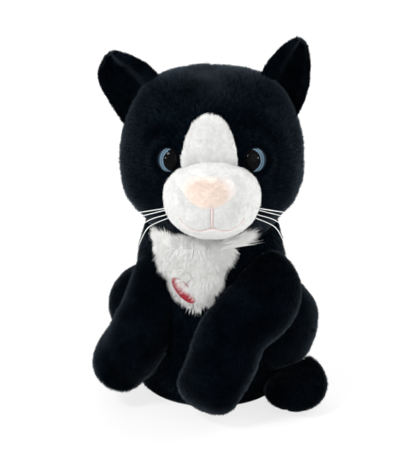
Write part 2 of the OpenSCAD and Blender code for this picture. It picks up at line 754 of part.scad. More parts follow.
// The gear wheel's web is thinned between hub and rim
module wheel_recess(teeth, hub) {
    rim = gear_module * teeth / 2 - 2.2;
    translate([0, 0, -0.01]) difference() {
        cylinder(r = rim, h = 1);
        translate([0, 0, -1]) cylinder(r = hub, h = 3);
    }
}

module compound_gear(at, teeth, wheel_layer, wheel_dir, pinion_dir, hub_r) {
    color("#d9c9a3") translate([at.x, at.y, 0]) difference() {
        union() {
            translate([0, 0, layer_z(wheel_layer)]) gear(teeth[0], wheel_dir, true, gear_face);
            translate([0, 0, layer_z(wheel_layer) + gear_face - 0.5])
                gear(teeth[1], pinion_dir, false, gear_step + 0.5);
            translate([0, 0, deck_top + 0.1]) cylinder(r = hub_r, h = layer_z(wheel_layer) - deck_top + 0.9);
        }
        translate([0, 0, layer_z(wheel_layer)]) wheel_recess(teeth[0], 3.4);
        translate([0, 0, deck_top - 1]) cylinder(r = axle_r + run_gap, h = 40);
    }
}

module gear_1() {
    compound_gear(gear_1_at, gear_1_teeth, 0, motor_mesh_dir, middle_mesh_dir + 180, 2.6);
}

module gear_2() {
    compound_gear(gear_2_at, gear_2_teeth, 1, middle_mesh_dir, neck_mesh_dir + 180, 1.7);
}

module neck_gear() {
    color("#d9c9a3") difference() {
        union() {
            translate([0, 0, layer_z(2)]) gear(neck_teeth, neck_mesh_dir, true, gear_face);
            translate([0, 0, layer_z(2)]) cylinder(r = 5, h = gear_face + 0.8);
        }
        translate([0, 0, layer_z(2)]) wheel_recess(neck_teeth, 5);
        translate([0, 0, layer_z(2) - 1]) cylinder(r = shaft_r + pin_gap, h = 40);
    }
}

module motor_pinion() {
    shaft = 0.75;
    low = deck_low - motor_l / 2;
    color(brass) translate([motor_at.x, motor_at.y, 0]) {
        translate([0, 0, layer_z(0)]) gear(motor_teeth, motor_mesh_dir + 180, false, gear_face);
        translate([0, 0, low]) cylinder(r = shaft, h = layer_z(0) - low + 1);
    }
}

module motor() {
    color(steel) translate([motor_at.x, motor_at.y, deck_low - motor_l]) difference() {
        union() {
            cylinder(r = motor_r, h = motor_l);
            cylinder(r = 3, h = motor_l + 1.4);
        }
        translate([0, 0, motor_l / 2 - 0.5]) cylinder(r = 0.75 + run_gap, h = motor_l);
        for (s = [-1, 1]) translate([s * (motor_r + 0.5) - 1, -20, motor_l / 3]) cube([2, 40, motor_l / 3]);
    }
}

module gear_axles() {
    color(steel) for (at = [gear_1_at, gear_2_at]) translate([at.x, at.y, deck_low])
        cylinder(r = axle_r, h = chassis_top - deck_low);
}

module gearbox_lower_plate() {
    collar = 6;
    color(plastic_white) difference() {
        union() {
            translate([0, 0, deck_low]) cylinder(r = plate_r, h = plate_t);
            for (a = post_dirs) rotate(a) translate([post_at, 0, deck_top])
                cylinder(r = post_r, h = chassis_top - plate_t - deck_top);
            translate([motor_at.x, motor_at.y, deck_low - collar]) cylinder(r = motor_r + 1.6, h = collar);
        }
        translate([motor_at.x, motor_at.y, deck_low - collar - 1])
            cylinder(r = motor_r + pin_gap, h = collar + 1);
        translate([motor_at.x, motor_at.y, deck_low - 1]) cylinder(r = 3 + pin_gap, h = plate_t + 2);
        translate([0, 0, deck_low - 1]) cylinder(r = shaft_r + run_gap, h = plate_t + 2);
        for (at = [gear_1_at, gear_2_at]) translate([at.x, at.y, deck_low - 1])
            cylinder(r = axle_r + pin_gap, h = plate_t + 2);
        for (a = post_dirs) rotate(a) translate([post_at, 0, chassis_top - plate_t - 8])
            cylinder(r = 1 + pin_gap, h = 9);
    }
}

module gearbox_upper_plate() {
    color(plastic_white) difference() {
        translate([0, 0, chassis_top - plate_t]) cylinder(r = plate_r, h = plate_t);
        translate([0, 0, chassis_top - plate_t - 1]) cylinder(r = bush_r + pin_gap, h = plate_t + 2);
        for (at = [gear_1_at, gear_2_at]) translate([at.x, at.y, chassis_top - plate_t - 1])
            cylinder(r = axle_r + pin_gap, h = plate_t + 2);
        for (a = post_dirs) rotate(a) translate([post_at, 0, chassis_top - plate_t - 1])
            cylinder(r = 1 + pin_gap, h = plate_t + 2);
    }
}

module gearbox_screws() {
    color(steel) for (a = post_dirs) rotate(a) translate([post_at, 0, chassis_top + 1.2]) mirror([0, 0, 1])
        screw(1, 2.2, 1.2, 8);
}

module neck_bush() {
    color(brass) difference() {
        union() {
            translate([0, 0, chassis_top - plate_t]) cylinder(r = bush_r, h = plate_t);
            translate([0, 0, chassis_top]) cylinder(r = bush_r + 2, h = bush_flange_t);
        }
        translate([0, 0, chassis_top - plate_t - 1]) cylinder(r = shaft_r + run_gap, h = plate_t + 4);
    }
}

// Turning head
module neck_shaft() {
    color(steel) difference() {
        union() {
            translate([0, 0, deck_low]) cylinder(r = shaft_r, h = head_plate_top - deck_low);
            translate([0, 0, deck_top + 0.1]) cylinder(r = shaft_r + 1, h = 0.7);
        }
        translate([0, 0, head_plate_top - 9]) cylinder(r = screw_r + pin_gap, h = 10);
    }
}

module neck_screw() {
    color(steel) translate([0, 0, head_plate_top + 1.8]) mirror([0, 0, 1]) screw(screw_r, 4.5, 1.8, 9);
}

module head_plate() {
    color(plastic_white) difference() {
        union() {
            translate([0, 0, head_plate_z]) cylinder(r = head_plate_r, h = head_plate_t);
            translate([0, 0, hub_low]) cylinder(r = hub_r, h = head_plate_z - hub_low + 1);
        }
        translate([0, 0, hub_low - 1]) cylinder(r = shaft_r + pin_gap, h = 30);
        for (a = [0 : 45 : 315]) rotate(a) translate([15, 0, head_plate_z - 1])
            cylinder(r = 2, h = head_plate_t + 2);
    }
}

// Places a child on the head at an eye, with +Z pointing out of the head
module at_eye(side) {
    r = head_r(eye_z);
    translate([side * eye_x, -r * cos(eye_dir), eye_z]) rotate([0, 90 - eye_tilt, side * eye_dir - 90])
        children();
}
module eye_holes(r, depth) {
    rotate(head_turned) for (s = [-1, 1]) at_eye(s) translate([0, 0, -depth]) cylinder(r = r, h = depth + 6);
}

module head_skin() {
    color(black_plush) difference() {
        rotate_extrude() polygon(concat(
            head_arc(0, head_angle(neck_opening), 90, 20),
            head_arc(-skin_t, 90, head_angle(neck_opening, -skin_t), 20)));
        eye_holes(eye_shank_r + pin_gap, 12);
    }
}

module head_stuffing() {
    low = head_plate_top + fit_gap;
    grow = -skin_t - fit_gap;
    start = asin(-pow((head_z - low) / (head_radius + grow), head_squareness / 2));
    color("white") difference() {
        rotate_extrude() polygon(concat([[0, low]], head_arc(grow, start, 90, 18)));
        eye_holes(eye_shank_r + fit_gap, eye_shank_l + 1);
        eye_holes(washer_r + fit_gap, washer_depth + washer_t + fit_gap);
        translate([0, 0, low - 1]) cylinder(r = 4.5 + fit_gap, h = 1.8 + 1);
    }
}

module eye(side) {
    lift = 0.2;
    rim = 1;
    color("#23303f") rotate(head_turned) at_eye(side) {
        rotate_extrude() polygon(concat(
            [[0, lift], [eye_d / 2, lift]],
            [for (t = [0 : 10 : 90]) [eye_d / 2 * cos(t), lift + rim + (eye_dome - rim) * sin(t)]]));
        translate([0, 0, -eye_shank_l]) cylinder(r = eye_shank_r, h = eye_shank_l + 1);
    }
}

module left_eye() {
    eye(1);
}

module right_eye() {
    eye(-1);
}

module eye_washers() {
    color(plastic_white) rotate(head_turned) for (s = [-1, 1]) at_eye(s)
        translate([0, 0, -washer_depth - washer_t]) difference() {
            cylinder(r = washer_r, h = washer_t);
            translate([0, 0, -1]) cylinder(r = eye_shank_r + pin_gap, h = washer_t + 2);
        }
}

module muzzle() {
    sides = 32;
    outer = 10;
    inner = 4;
    spot = function (k, a) let (rim = muzzle_rim(a)) [k * rim.x, muzzle_z + k * rim.y];
    out = function (k, a) let (q = spot(k, a)) [q.x, -muzzle_front(q.x, q.y), q.y];
    back = function (k, a) let (q = spot(k, a)) [q.x, -muzzle_back(q.x, q.y), q.y];
    color(white_plush) rotate(head_turned) loft(
        out(0, 0),
        concat(
            [for (i = [1 : outer]) [for (j = [0 : sides - 1]) out(sin(90 * i / outer), 360 * j / sides)]],
            [for (i = [inner : -1 : 1]) [for (j = [0 : sides - 1]) back(i / inner, 360 * j / sides)]]),
        back(0, 0));
}

module blaze() {
    low_dz = muzzle_dz + muzzle_up;
    steps = 10;
    half = function (k) blaze_half_w * sqrt(max(0, 1 - pow(k, 2.2)));
    bottom = [for (i = [0 : 6]) let (x = -blaze_half_w + 2 * blaze_half_w * i / 6)
        [x, muzzle_rim_z(x) + 3 * soft_gap]];
    right_side = [for (i = [1 : steps]) let (k = sin(90 * i / steps))
        [half(k), head_z + low_dz + 2 + (blaze_top_dz - low_dz - 2) * k]];
    left_side = [for (i = [steps - 1 : -1 : 1]) [-right_side[i - 1].x, right_side[i - 1].y]];
    color(white_plush) rotate(head_turned) intersection() {
        rotate_extrude() polygon(concat(
            head_arc(fit_gap + blaze_t, 0, 80, 14), head_arc(fit_gap, 80, 0, 14)));
        rotate([90, 0, 0]) linear_extrude(height = 2 * head_radius)
            polygon(concat(bottom, right_side, left_side));
    }
}

module nose() {
    sides = 24;
    outer = 5;
    inner = 4;
    gap = 2 * soft_gap;
    mid_z = head_z + nose_dz;
    point = function (k, a, lift) let (
            narrow = sin(a) < 0 ? 1 - 0.45 * pow(abs(sin(a)), 2) : 1,
            x = k * nose_half_w * signed_pow(cos(a), 0.85) * narrow,
            z = mid_z + k * nose_h / 2 * signed_pow(sin(a), sin(a) < 0 ? 1 : 0.8))
        [x, -muzzle_front(x, z) - lift, z];
    edge_t = 0.4;
    rise = function (k) gap + edge_t + (nose_t - edge_t) * sqrt(1 - k * k);
    color(peach) rotate(head_turned) loft(
        point(0, 0, gap + nose_t),
        concat(
            [for (i = [1 : outer]) let (k = sin(90 * i / outer)) [for (j = [0 : sides - 1])
                point(k, 360 * j / sides, rise(k))]],
            [for (i = [inner : -1 : 1]) [for (j = [0 : sides - 1]) point(i / inner, 360 * j / sides, gap)]]),
        point(0, 0, gap));
}

module mouth_stitching() {
    smile_half = 18;
    dip = smile_half / 2;
    smile_dz = -22.5;
    lift = 1.4 * soft_gap + thread_d / 2;
    curve = function (x) abs(x) < dip
        ? head_z + smile_dz + 1.25 * (1 + cos(180 * x / dip))
        : head_z + smile_dz + 4.5 * pow((abs(x) - dip) / dip, 2);
    on = function (x, z) [x, -muzzle_front(x, z) - lift, z];
    top_z = head_z + nose_dz - nose_h / 2 - 1;
    low_z = head_z + smile_dz + 2.5 + thread_d + 0.3;
    color("#d9b8b8") rotate(head_turned) {
        tube([for (x = [-smile_half : 2.5 : smile_half]) on(x, curve(x))], thread_d / 2, 24);
        tube([for (i = [0 : 4]) on(0, top_z + (low_z - top_z) * i / 4)], thread_d / 2, 8, [1, 0, 0]);
    }
}

module ear(inner, outer) {
    rings = 12;
    half = 12;
    side = sign(inner[0].x);
    edge = function (list, v) let (q = along(list, v)) [q.x, ear_back, head_z + q.y];
    thick = function (q, v) ear_t / 2 * pow(max(0.02, 4 * q * (1 - q)), 0.4) * (1 - 0.35 * v);
    point = function (q, v, face) let (a = edge(inner, v), b = edge(outer, v))
        a + (b - a) * q + [0, ear_cup * sin(180 * q) * (1 - 0.6 * v) + face * thick(q, v), 0];
    ring = function (v) concat(
        [for (j = [0 : half - 1]) point((j + 0.5) / half, v, side)],
        [for (j = [half - 1 : -1 : 0]) point((j + 0.5) / half, v, -side)]);
    tip = (edge(inner, 1) + edge(outer, 1)) / 2 + [0, ear_cup * 0.4, 0.8];
    color(black_plush) rotate(head_turned) difference() {
        loft(point(0.5, 0, 0), [for (i = [0 : rings - 1]) ring(sin(90 * i / (rings - 0.8)))], tip);
        head_room();
    }
}

module left_ear() {
    ear(left_ear_inner, left_ear_outer);
}

module right_ear() {
    ear(right_ear_inner, right_ear_outer);
}

module whiskers(side) {
    lift = whisker_d / 2 + soft_gap / 2;
    color("white") rotate(head_turned) for (i = [0 : len(whisker_roots) - 1]) {
        a = whisker_roots[i];
        b = whisker_middles[i];
        c = whisker_tips[i];
        y = -muzzle_front(a.x, head_z + a.y) - lift;
        root = [side * a.x, y, head_z + a.y];
        middle = [side * b.x, y - 4, head_z + b.y];
        tip = [side * c.x, y - 3, head_z + c.y];
        tube([root, middle, tip], whisker_d / 2, 6);
    }
}

module left_whiskers() {
    whiskers(1);
}

module right_whiskers() {
    whiskers(-1);
}

// Chest button, drawn along +Y at the badge's place
module along_button(y) {
    translate([badge_x, y, badge_z]) rotate([-90, 0, 0]) children();
}

module button_housing() {
    color(plastic_white) difference() {
        along_button(housing_front_y) cylinder(r = housing_r, h = housing_back_y - housing_front_y);
        along_button(housing_front_y + housing_lip)
            cylinder(r = housing_bore, h = housing_floor_y - housing_front_y - housing_lip);
        along_button(housing_front_y - 1) cylinder(r = stem_r + 0.4, h = 4);
    }
}

module button_plunger() {
    color(plastic_white) {
        along_button(badge_back_y) cylinder(r = stem_r, h = flange_back_y - badge_back_y);
        along_button(flange_front_y) cylinder(r = plunger_flange_r, h = plunger_flange_t);
    }
}

module button_spring() {
    color(steel) along_button(flange_back_y + 0.05)
        coil(5.4, 0.3, housing_floor_y - flange_back_y - 0.1, 4);
}

module button_switch() {
    color("black") {
        along_button(button_tip_y) cylinder(r = 1.6, h = button_switch_l);
        translate([badge_x - 3, button_tip_y + 0.5, badge_z - 3]) cube([6, button_switch_l - 0.5, 6]);
    }
}

module press_badge() {
    oval = function (l, w) [for (a = [0 : 10 : 350]) [l / 2 * cos(a), w / 2 * sin(a)]];
    rim = 0.5;
    color("#be2c40") translate([badge_x, badge_back_y, badge_z]) rotate([90, -badge_tilt, 0]) {
        linear_extrude(height = badge_t - rim) polygon(oval(badge_l, badge_w));
        linear_extrude(height = badge_t) polygon(oval(badge_l - 1.6, badge_w - 1.6));
    }
}

module left_foreleg() {
    foreleg(left_foreleg_path, 1);
}

module right_foreleg() {
    foreleg(right_foreleg_path, -1);
}

module left_thigh() {
    thigh(1);
}

module right_thigh() {
    thigh(-1);
}

module left_hind_foot() {
    hind_foot(left_foot_path, 1);
}

module right_hind_foot() {
    hind_foot(right_foot_path, -1);
}

body_skin();
body_stuffing();
bib();
left_foreleg();
right_foreleg();
left_thigh();
right_thigh();
left_hind_foot();
right_hind_foot();
tail();
base_plate();
base_screws();
battery_box();
batteries();
battery_contact();
battery_springs();
battery_door();
battery_door_screw();
door_hinge_pin();
power_switch();
power_switch_knob();
circuit_board();
speaker_frame();
speaker_cone();
wires();
chassis_front();
chassis_rear();
chassis_screws();
gearbox_lower_plate();
gearbox_upper_plate();
gearbox_screws();
motor();
motor_pinion();
gear_1();
gear_2();
gear_axles();
neck_bush();
neck_gear();
neck_shaft();
neck_screw();
head_plate();
head_skin();
head_stuffing();
muzzle();
blaze();
nose();
mouth_stitching();
left_eye();
right_eye();
eye_washers();
left_ear();
right_ear();
left_whiskers();
right_whiskers();
button_housing();
button_plunger();
button_spring();
button_switch();
press_badge();
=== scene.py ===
"""Looks of the sitting plush kitten: stuffed forms, plush pile, face, whiskers, badge and base.

Lengths in the code are millimetres in the part's frame; meshes are made in metres.
"""
import json
import math

import bpy
import numpy as np
from mathutils import Matrix, Vector


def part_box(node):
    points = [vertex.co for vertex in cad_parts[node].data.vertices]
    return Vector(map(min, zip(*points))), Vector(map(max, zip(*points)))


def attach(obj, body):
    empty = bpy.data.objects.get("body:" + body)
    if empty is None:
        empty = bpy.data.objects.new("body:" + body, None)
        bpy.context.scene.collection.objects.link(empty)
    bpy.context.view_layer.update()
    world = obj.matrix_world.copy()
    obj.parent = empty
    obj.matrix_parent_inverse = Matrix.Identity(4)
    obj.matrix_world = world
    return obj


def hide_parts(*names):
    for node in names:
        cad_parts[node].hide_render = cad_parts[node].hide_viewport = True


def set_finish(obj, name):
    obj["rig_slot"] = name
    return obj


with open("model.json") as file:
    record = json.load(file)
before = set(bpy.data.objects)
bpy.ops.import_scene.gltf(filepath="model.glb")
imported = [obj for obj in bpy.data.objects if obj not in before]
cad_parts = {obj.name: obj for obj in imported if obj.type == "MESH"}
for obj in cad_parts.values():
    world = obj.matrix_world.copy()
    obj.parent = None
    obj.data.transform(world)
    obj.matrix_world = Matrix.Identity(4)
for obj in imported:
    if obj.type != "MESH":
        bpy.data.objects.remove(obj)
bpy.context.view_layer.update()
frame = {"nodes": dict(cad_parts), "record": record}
MM = 0.001

# Main sizes, most of them as in the part's source
TORSO_R, TORSO_WIDE_Z, TORSO_FOOT_R, NECK_R, TORSO_TAPER = 51.0, 38.0, 45.0, 43.0, 1.7
HEAD_R, HEAD_Z, HEAD_N = 58.5, 157.0, 2.2
HEAD_TURN = math.radians(22)
HEAD_GAP, NECK_HOLE_R, LINING_R = 0.7, 17.0, 34.9
MUZZLE_W, MUZZLE_Z, MUZZLE_UP, MUZZLE_DOWN, MUZZLE_LEN = 30.0, 148.0, 25.0, 25.5, 25.0
MUZZLE_SEAT = 0.15
MOUTH_Z, MOUTH_DIP, MOUTH_HALF = HEAD_Z - 22.5, 9.0, 20.5
DROP_TOP, DROP_FOOT = 153.0, 138.0
BLAZE_X, BLAZE_LOW, BLAZE_TOP = -1.5, MUZZLE_Z + MUZZLE_UP - 6.0, HEAD_Z + 42.0
EYE_X, EYE_Z, EYE_R, EYE_CLEAR = 27.0, 172.0, 7.5, 8.2
THIGH_MID, THIGH_HALF = (45.5, 8.0, 44.0), (24.0, 32.0, 32.0)
BADGE_X, BADGE_Z, BADGE_L, BADGE_W, BADGE_TILT = 2.0, 84.0, 20.5, 9.5, math.radians(-45)
NOSE_MID, NOSE_W, NOSE_UP, NOSE_DOWN = np.array([-2.0, -80.0, 161.0]), 17.0, 8.0, 10.0
NOSE_FLAT, NOSE_POINT = 3.0, 1.45
SEWN_GAP = 0.2


# Curves and surfaces

def unit(v):
    return v / np.maximum(np.linalg.norm(v, axis=-1, keepdims=True), 1e-9)


def angles(n):
    """n angles spread evenly round a circle."""
    return np.linspace(0, 2 * np.pi, n, endpoint=False)


def distance(p, spot):
    return np.linalg.norm(p - np.array(spot), axis=-1)


def axis_r(p):
    """Distance from the upright axis."""
    return np.linalg.norm(p[..., :2], axis=-1)


def spow(v, e):
    return np.sign(v) * np.abs(v) ** e


def bell(d, width):
    return np.exp(-(d / width) ** 2)


def rise(x, low, high):
    """A smooth step from 0 at low to 1 at high."""
    t = np.clip((x - low) / (high - low), 0, 1)
    return t * t * (3 - 2 * t)


def lumps(p, size, seed):
    """Soft unevenness from -1 to 1, the same on every run."""
    rng = np.random.default_rng(seed)
    total = np.zeros(p.shape[:-1])
    for _ in range(7):
        wave = unit(rng.normal(size=3)) * rng.uniform(0.7, 1.5) * 2 * np.pi / size
        total += np.sin(p @ wave + rng.uniform(0, 2 * np.pi))
    return total / 3.5


def along(path, s):
    """The smooth curve through the stations of a path, at s from 0 to 1."""
    path = np.asarray(path, float)
    n = len(path) - 1
    s = np.atleast_1d(s)
    k = np.minimum((s * n).astype(int), n - 1)
    f = (s * n - k)[:, None]
    a, b, c, d = path[np.maximum(k - 1, 0)], path[k], path[k + 1], path[np.minimum(k + 2, n)]
    return 0.5 * (2 * b + (c - a) * f + (2 * a - 5 * b + 4 * c - d) * f ** 2
                  + (3 * b - a - 3 * c + d) * f ** 3)


def head_r(z):
    """Radius of the head's plain form at a height."""
    return HEAD_R * (1 - np.minimum(1, np.abs(z - HEAD_Z) / HEAD_R) ** HEAD_N) ** (1 / HEAD_N)


def head_low(r):
    """Height of the head's underside at a radius."""
    return HEAD_Z - HEAD_R * (1 - (r / HEAD_R) ** HEAD_N) ** (1 / HEAD_N)


def head_front(x, z):
    """How far forward the head's plain form is."""
    return np.sqrt(np.maximum(0, head_r(z) ** 2 - x ** 2))


RIM_Z = head_low(NECK_R) - HEAD_GAP


def torso_r(z):
    low = TORSO_R - (TORSO_R - TORSO_FOOT_R) * (np.maximum(0, TORSO_WIDE_Z - z) / TORSO_WIDE_Z) ** 2
    share = np.clip((z - TORSO_WIDE_Z) / (RIM_Z - TORSO_WIDE_Z), 0, 1)
    return np.where(z < TORSO_WIDE_Z, low, TORSO_R - (TORSO_R - NECK_R) * share ** TORSO_TAPER)


def off_torso(p, gap):
    """Points inside the torso are pressed out onto its side."""
    r = axis_r(p)
    need = torso_r(p[..., 2]) + gap
    grow = np.where(r < need, need / np.maximum(r, 1e-6), 1)
    return np.concatenate([p[..., :2] * grow[..., None], p[..., 2:]], -1)


def off_thigh(p, side, gap):
    """Points inside a thigh are pressed out onto its side."""
    mid = np.array([side * THIGH_MID[0], THIGH_MID[1], THIGH_MID[2]])
    d = p - mid
    level = np.linalg.norm(d / np.array(THIGH_HALF), axis=-1)
    grow = np.maximum(1, (1 + gap / THIGH_HALF[0]) / np.maximum(level, 1e-6))
    return mid + d * grow[..., None]


def off_head(p, gap):
    """Points inside the head are pressed out onto it."""
    mid = np.array([0, 0, HEAD_Z])
    d = p - mid
    level = ((axis_r(d) / HEAD_R) ** HEAD_N + (np.abs(d[..., 2]) / HEAD_R) ** HEAD_N) ** (1 / HEAD_N)
    grow = np.maximum(1, (1 + gap / HEAD_R) / np.maximum(level, 1e-6))
    return mid + d * grow[..., None]


def spun(p, a):
    """Points turned about the upright axis."""
    c, s = math.cos(a), math.sin(a)
    return np.stack([c * p[..., 0] - s * p[..., 1], s * p[..., 0] + c * p[..., 1], p[..., 2]], -1)


def turned(p):
    """From the head's own frame, facing -Y, to its place at rest."""
    return spun(p, HEAD_TURN)


def unturned(p):
    """From the head's place at rest back to its own frame."""
    return spun(p, -HEAD_TURN)


def muzzle_level(x, z):
    reach = np.where(z > MUZZLE_Z, MUZZLE_UP, MUZZLE_DOWN)
    return ((np.abs(x) / MUZZLE_W) ** HEAD_N + (np.abs(z - MUZZLE_Z) / reach) ** HEAD_N) ** (1 / HEAD_N)


def smile_z(x):
    """Height of the stitched mouth at x."""
    x = np.abs(x)
    return np.where(x < MOUTH_DIP, MOUTH_Z + 1.25 * (1 + np.cos(np.pi * x / MOUTH_DIP)),
                    MOUTH_Z + 4.5 * ((x - MOUTH_DIP) / MOUTH_DIP) ** 2)


def muzzle_front(x, z):
    """How far forward the muzzle's cloth is, with a groove under the nose and the mouth's dent."""
    level = np.minimum(1, muzzle_level(x, z))
    out = head_front(x, z) + 1.3 + MUZZLE_LEN * np.sqrt(np.maximum(0, 1 - level ** 2.6))
    groove = 1.3 * bell(x, 2.2) * np.clip((HEAD_Z - 2 - z) / 4, 0, 1) * np.clip((z - HEAD_Z + 22) / 4, 0, 1)
    dent = 1.1 * bell(z - smile_z(x), 2.0) * np.clip((23 - np.abs(x)) / 5, 0, 1)
    cheeks = 1.2 * bell(np.abs(x) - 12, 9) * bell(z - HEAD_Z + 13, 9)
    return out - groove - dent + cheeks * (level < 0.98)


# Meshes

def in_scene(name, data):
    o = bpy.data.objects.new(name, data)
    bpy.context.scene.collection.objects.link(o)
    return o


def link(name, mesh, finish):
    """A new smooth object of a mesh, in the scene."""
    o = in_scene(name, mesh)
    mesh.materials.append(finish)
    mesh.polygons.foreach_set("use_smooth", np.ones(len(mesh.polygons), bool))
    return o


def quads(at, m, n):
    """Faces between rows and columns of points that at(row, column) numbers."""
    return [(at(i, j), at(i + 1, j), at(i + 1, j + 1), at(i, j + 1)) for i in range(m) for j in range(n)]


def ring_mesh(name, rings, first, last):
    """A closed form through rings of points with a point at each end."""
    rings = np.asarray(rings, float)
    m, n = rings.shape[:2]
    points = np.concatenate([[first], rings.reshape(-1, 3), [last]]) * MM
    at = lambda i, j: 1 + i * n + j % n
    faces = quads(at, m - 1, n)
    faces += [(0, at(0, j), at(0, j + 1)) for j in range(n)]
    faces += [(m * n + 1, at(m - 1, j + 1), at(m - 1, j)) for j in range(n)]
    return face_mesh(name, points, faces)


def sheet_mesh(name, grid):
    """An open sheet through a grid of points."""
    m, n = grid.shape[:2]
    at = lambda i, j: i * n + j
    faces = [(a, d, c, b) for a, b, c, d in quads(at, m - 1, n - 1)]
    return face_mesh(name, grid.reshape(-1, 3) * MM, faces)


def face_mesh(name, points, faces):
    mesh = bpy.data.meshes.new(name)
    mesh.from_pydata([tuple(p) for p in points], [], faces)
    mesh.validate()
    mesh.update()
    return mesh


def table(items, key, kind=float):
    """Rows of three numbers, one for each item."""
    values = np.empty(len(items) * 3, kind)
    items.foreach_get(key, values)
    return values.reshape(-1, 3)


def outward(mesh):
    """Turns the faces outwards; an open sheet faces away from the upright axis."""
    mesh.calc_loop_triangles()
    co = table(mesh.vertices, "co")
    co = co - [0, 0, co[:, 2].mean()]
    a, b, c = co[table(mesh.loop_triangles, "vertices", int).T]
    if (a * np.cross(b, c)).sum() < 0:
        mesh.flip_normals()
    return mesh


def tube_mesh(name, paths, radius, sides=10, tip=1.0, steps=40):
    """Thin round threads along paths, each narrowing to tip times its radius."""
    points, faces = [], []
    for path in paths:
        s = np.linspace(0, 1, steps + 1)
        c = along(path, s)
        d = unit(np.gradient(c, axis=0))
        up = np.array([0.31, 0.42, 0.85])
        u = unit(np.cross(d, up))
        v = np.cross(u, d)
        r = radius * (1 + (tip - 1) * s)
        a = angles(sides)
        across = u[:, None] * np.cos(a)[:, None] + v[:, None] * np.sin(a)[:, None]
        ring = c[:, None] + r[:, None, None] * across
        base = len(points)
        points += list(ring.reshape(-1, 3)) + [c[0], c[-1]]
        at = lambda i, j: base + i * sides + j % sides
        faces += quads(at, steps, sides)
        end = base + (steps + 1) * sides
        faces += [(end, at(0, j), at(0, j + 1)) for j in range(sides)]
        faces += [(end + 1, at(steps, j + 1), at(steps, j)) for j in range(sides)]
    return outward(face_mesh(name, np.array(points) * MM, faces))


def limb_rings(path, half_w, half_h, rings, sides, cap_in, cap_out):
    """Rings of a limb with round ends along a path of [x, y, z, width, height] stations."""
    s = (1 - np.cos(np.pi * np.arange(1, rings + 1) / (rings + 1))) / 2
    q = along(path, s)
    ahead, behind = along(path, np.minimum(s + 0.02, 1)), along(path, np.maximum(s - 0.02, 0))
    flow = unit((ahead - behind)[:, :3])
    u = unit(np.cross(flow, [0, 0, 1]))
    v = np.cross(u, flow)
    cap = lambda t, c: np.where(t >= c, 1, np.sqrt(np.maximum(0, 1 - (1 - np.minimum(t / c, 1)) ** 2)))
    m = (cap(s, cap_in) * cap(1 - s, cap_out))[:, None, None]
    a = angles(sides)[None, :, None]
    return q[:, None, :3] + m * (u[:, None] * half_w * q[:, None, 3:4] * np.cos(a)
                                 + v[:, None] * half_h * q[:, None, 4:5] * np.sin(a))


# Materials

def material(name):
    m = bpy.data.materials.new(name)
    m.use_nodes = True
    nodes = m.node_tree.nodes
    return m, nodes, m.node_tree.links, nodes["Principled BSDF"]


def setup(node, values):
    for key, value in values.items():
        node.inputs[key].default_value = value


def operation(nodes, kind, node="ShaderNodeMath"):
    n = nodes.new(node)
    n.operation = kind
    return n


def noise(nodes, links, scale, detail=3.0, rough=0.6):
    where = nodes.new("ShaderNodeTexCoord")
    n = nodes.new("ShaderNodeTexNoise")
    setup(n, {"Scale": scale, "Detail": detail, "Roughness": rough})
    links.new(where.outputs["Object"], n.inputs["Vector"])
    return n


def ramp(nodes, links, value, stops):
    r = nodes.new("ShaderNodeValToRGB")
    while len(r.color_ramp.elements) < len(stops):
        r.color_ramp.elements.new(0.5)
    for e, (at, colour) in zip(r.color_ramp.elements, stops):
        e.position = at
        e.color = (*colour, 1)
    links.new(value, r.inputs["Fac"])
    return r


def bump(nodes, links, height, shader, strength, depth):
    b = nodes.new("ShaderNodeBump")
    setup(b, {"Strength": strength, "Distance": depth})
    links.new(height, b.inputs["Height"])
    links.new(b.outputs["Normal"], shader.inputs["Normal"])


def plush(name, dark, pale, sheen, sheen_tint, scale=140.0, rough=0.85, gloss=0.2, patches=0.0,
          spread=0.18):
    """Pile cloth: broad patches, partly random tone and partly painted sheen of nap lying differently, fine
    strands, and a soft sheen.
    """
    m, nodes, links, shader = material(name)
    strands = noise(nodes, links, scale, 4.0, 0.65)
    # Broad patches: random tone with a painted sheen of nap lying differently
    broad = noise(nodes, links, 55.0)
    blend = nodes.new("ShaderNodeMix")
    blend.inputs["Factor"].default_value = patches
    links.new(strands.outputs["Fac"], blend.inputs["A"])
    links.new(broad.outputs["Fac"], blend.inputs["B"])
    colour = ramp(nodes, links, blend.outputs["Result"], [(0.5 - spread, dark), (0.5 + spread, pale)])
    links.new(colour.outputs["Color"], shader.inputs["Base Color"])
    setup(shader, {"Roughness": rough, "Specular IOR Level": gloss, "Sheen Weight": sheen,
                   "Sheen Roughness": 0.4, "Sheen Tint": (*sheen_tint, 1)})
    fine = noise(nodes, links, 900.0, 2.0)
    bump(nodes, links, fine.outputs["Fac"], shader, 0.35, 0.0006)
    return m


def moulded(name, dark, pale, rough, scale=260.0, metal=0.0, coat=0.0, gloss=0.5):
    """A rigid piece with faint colour drift, uneven polish and a fine moulded or turned grain."""
    m, nodes, links, shader = material(name)
    patch = noise(nodes, links, scale)
    colour = ramp(nodes, links, patch.outputs["Fac"], [(0.3, dark), (0.7, pale)])
    links.new(colour.outputs["Color"], shader.inputs["Base Color"])
    shine = nodes.new("ShaderNodeMapRange")
    setup(shine, {"To Min": max(0.04, rough - 0.08), "To Max": rough + 0.08})
    links.new(patch.outputs["Fac"], shine.inputs["Value"])
    links.new(shine.outputs["Result"], shader.inputs["Roughness"])
    setup(shader, {"Metallic": metal, "Specular IOR Level": gloss, "Coat Weight": coat})
    fine = noise(nodes, links, 2200.0, 2.0)
    bump(nodes, links, fine.outputs["Fac"], shader, 0.08, 0.0002)
    return m


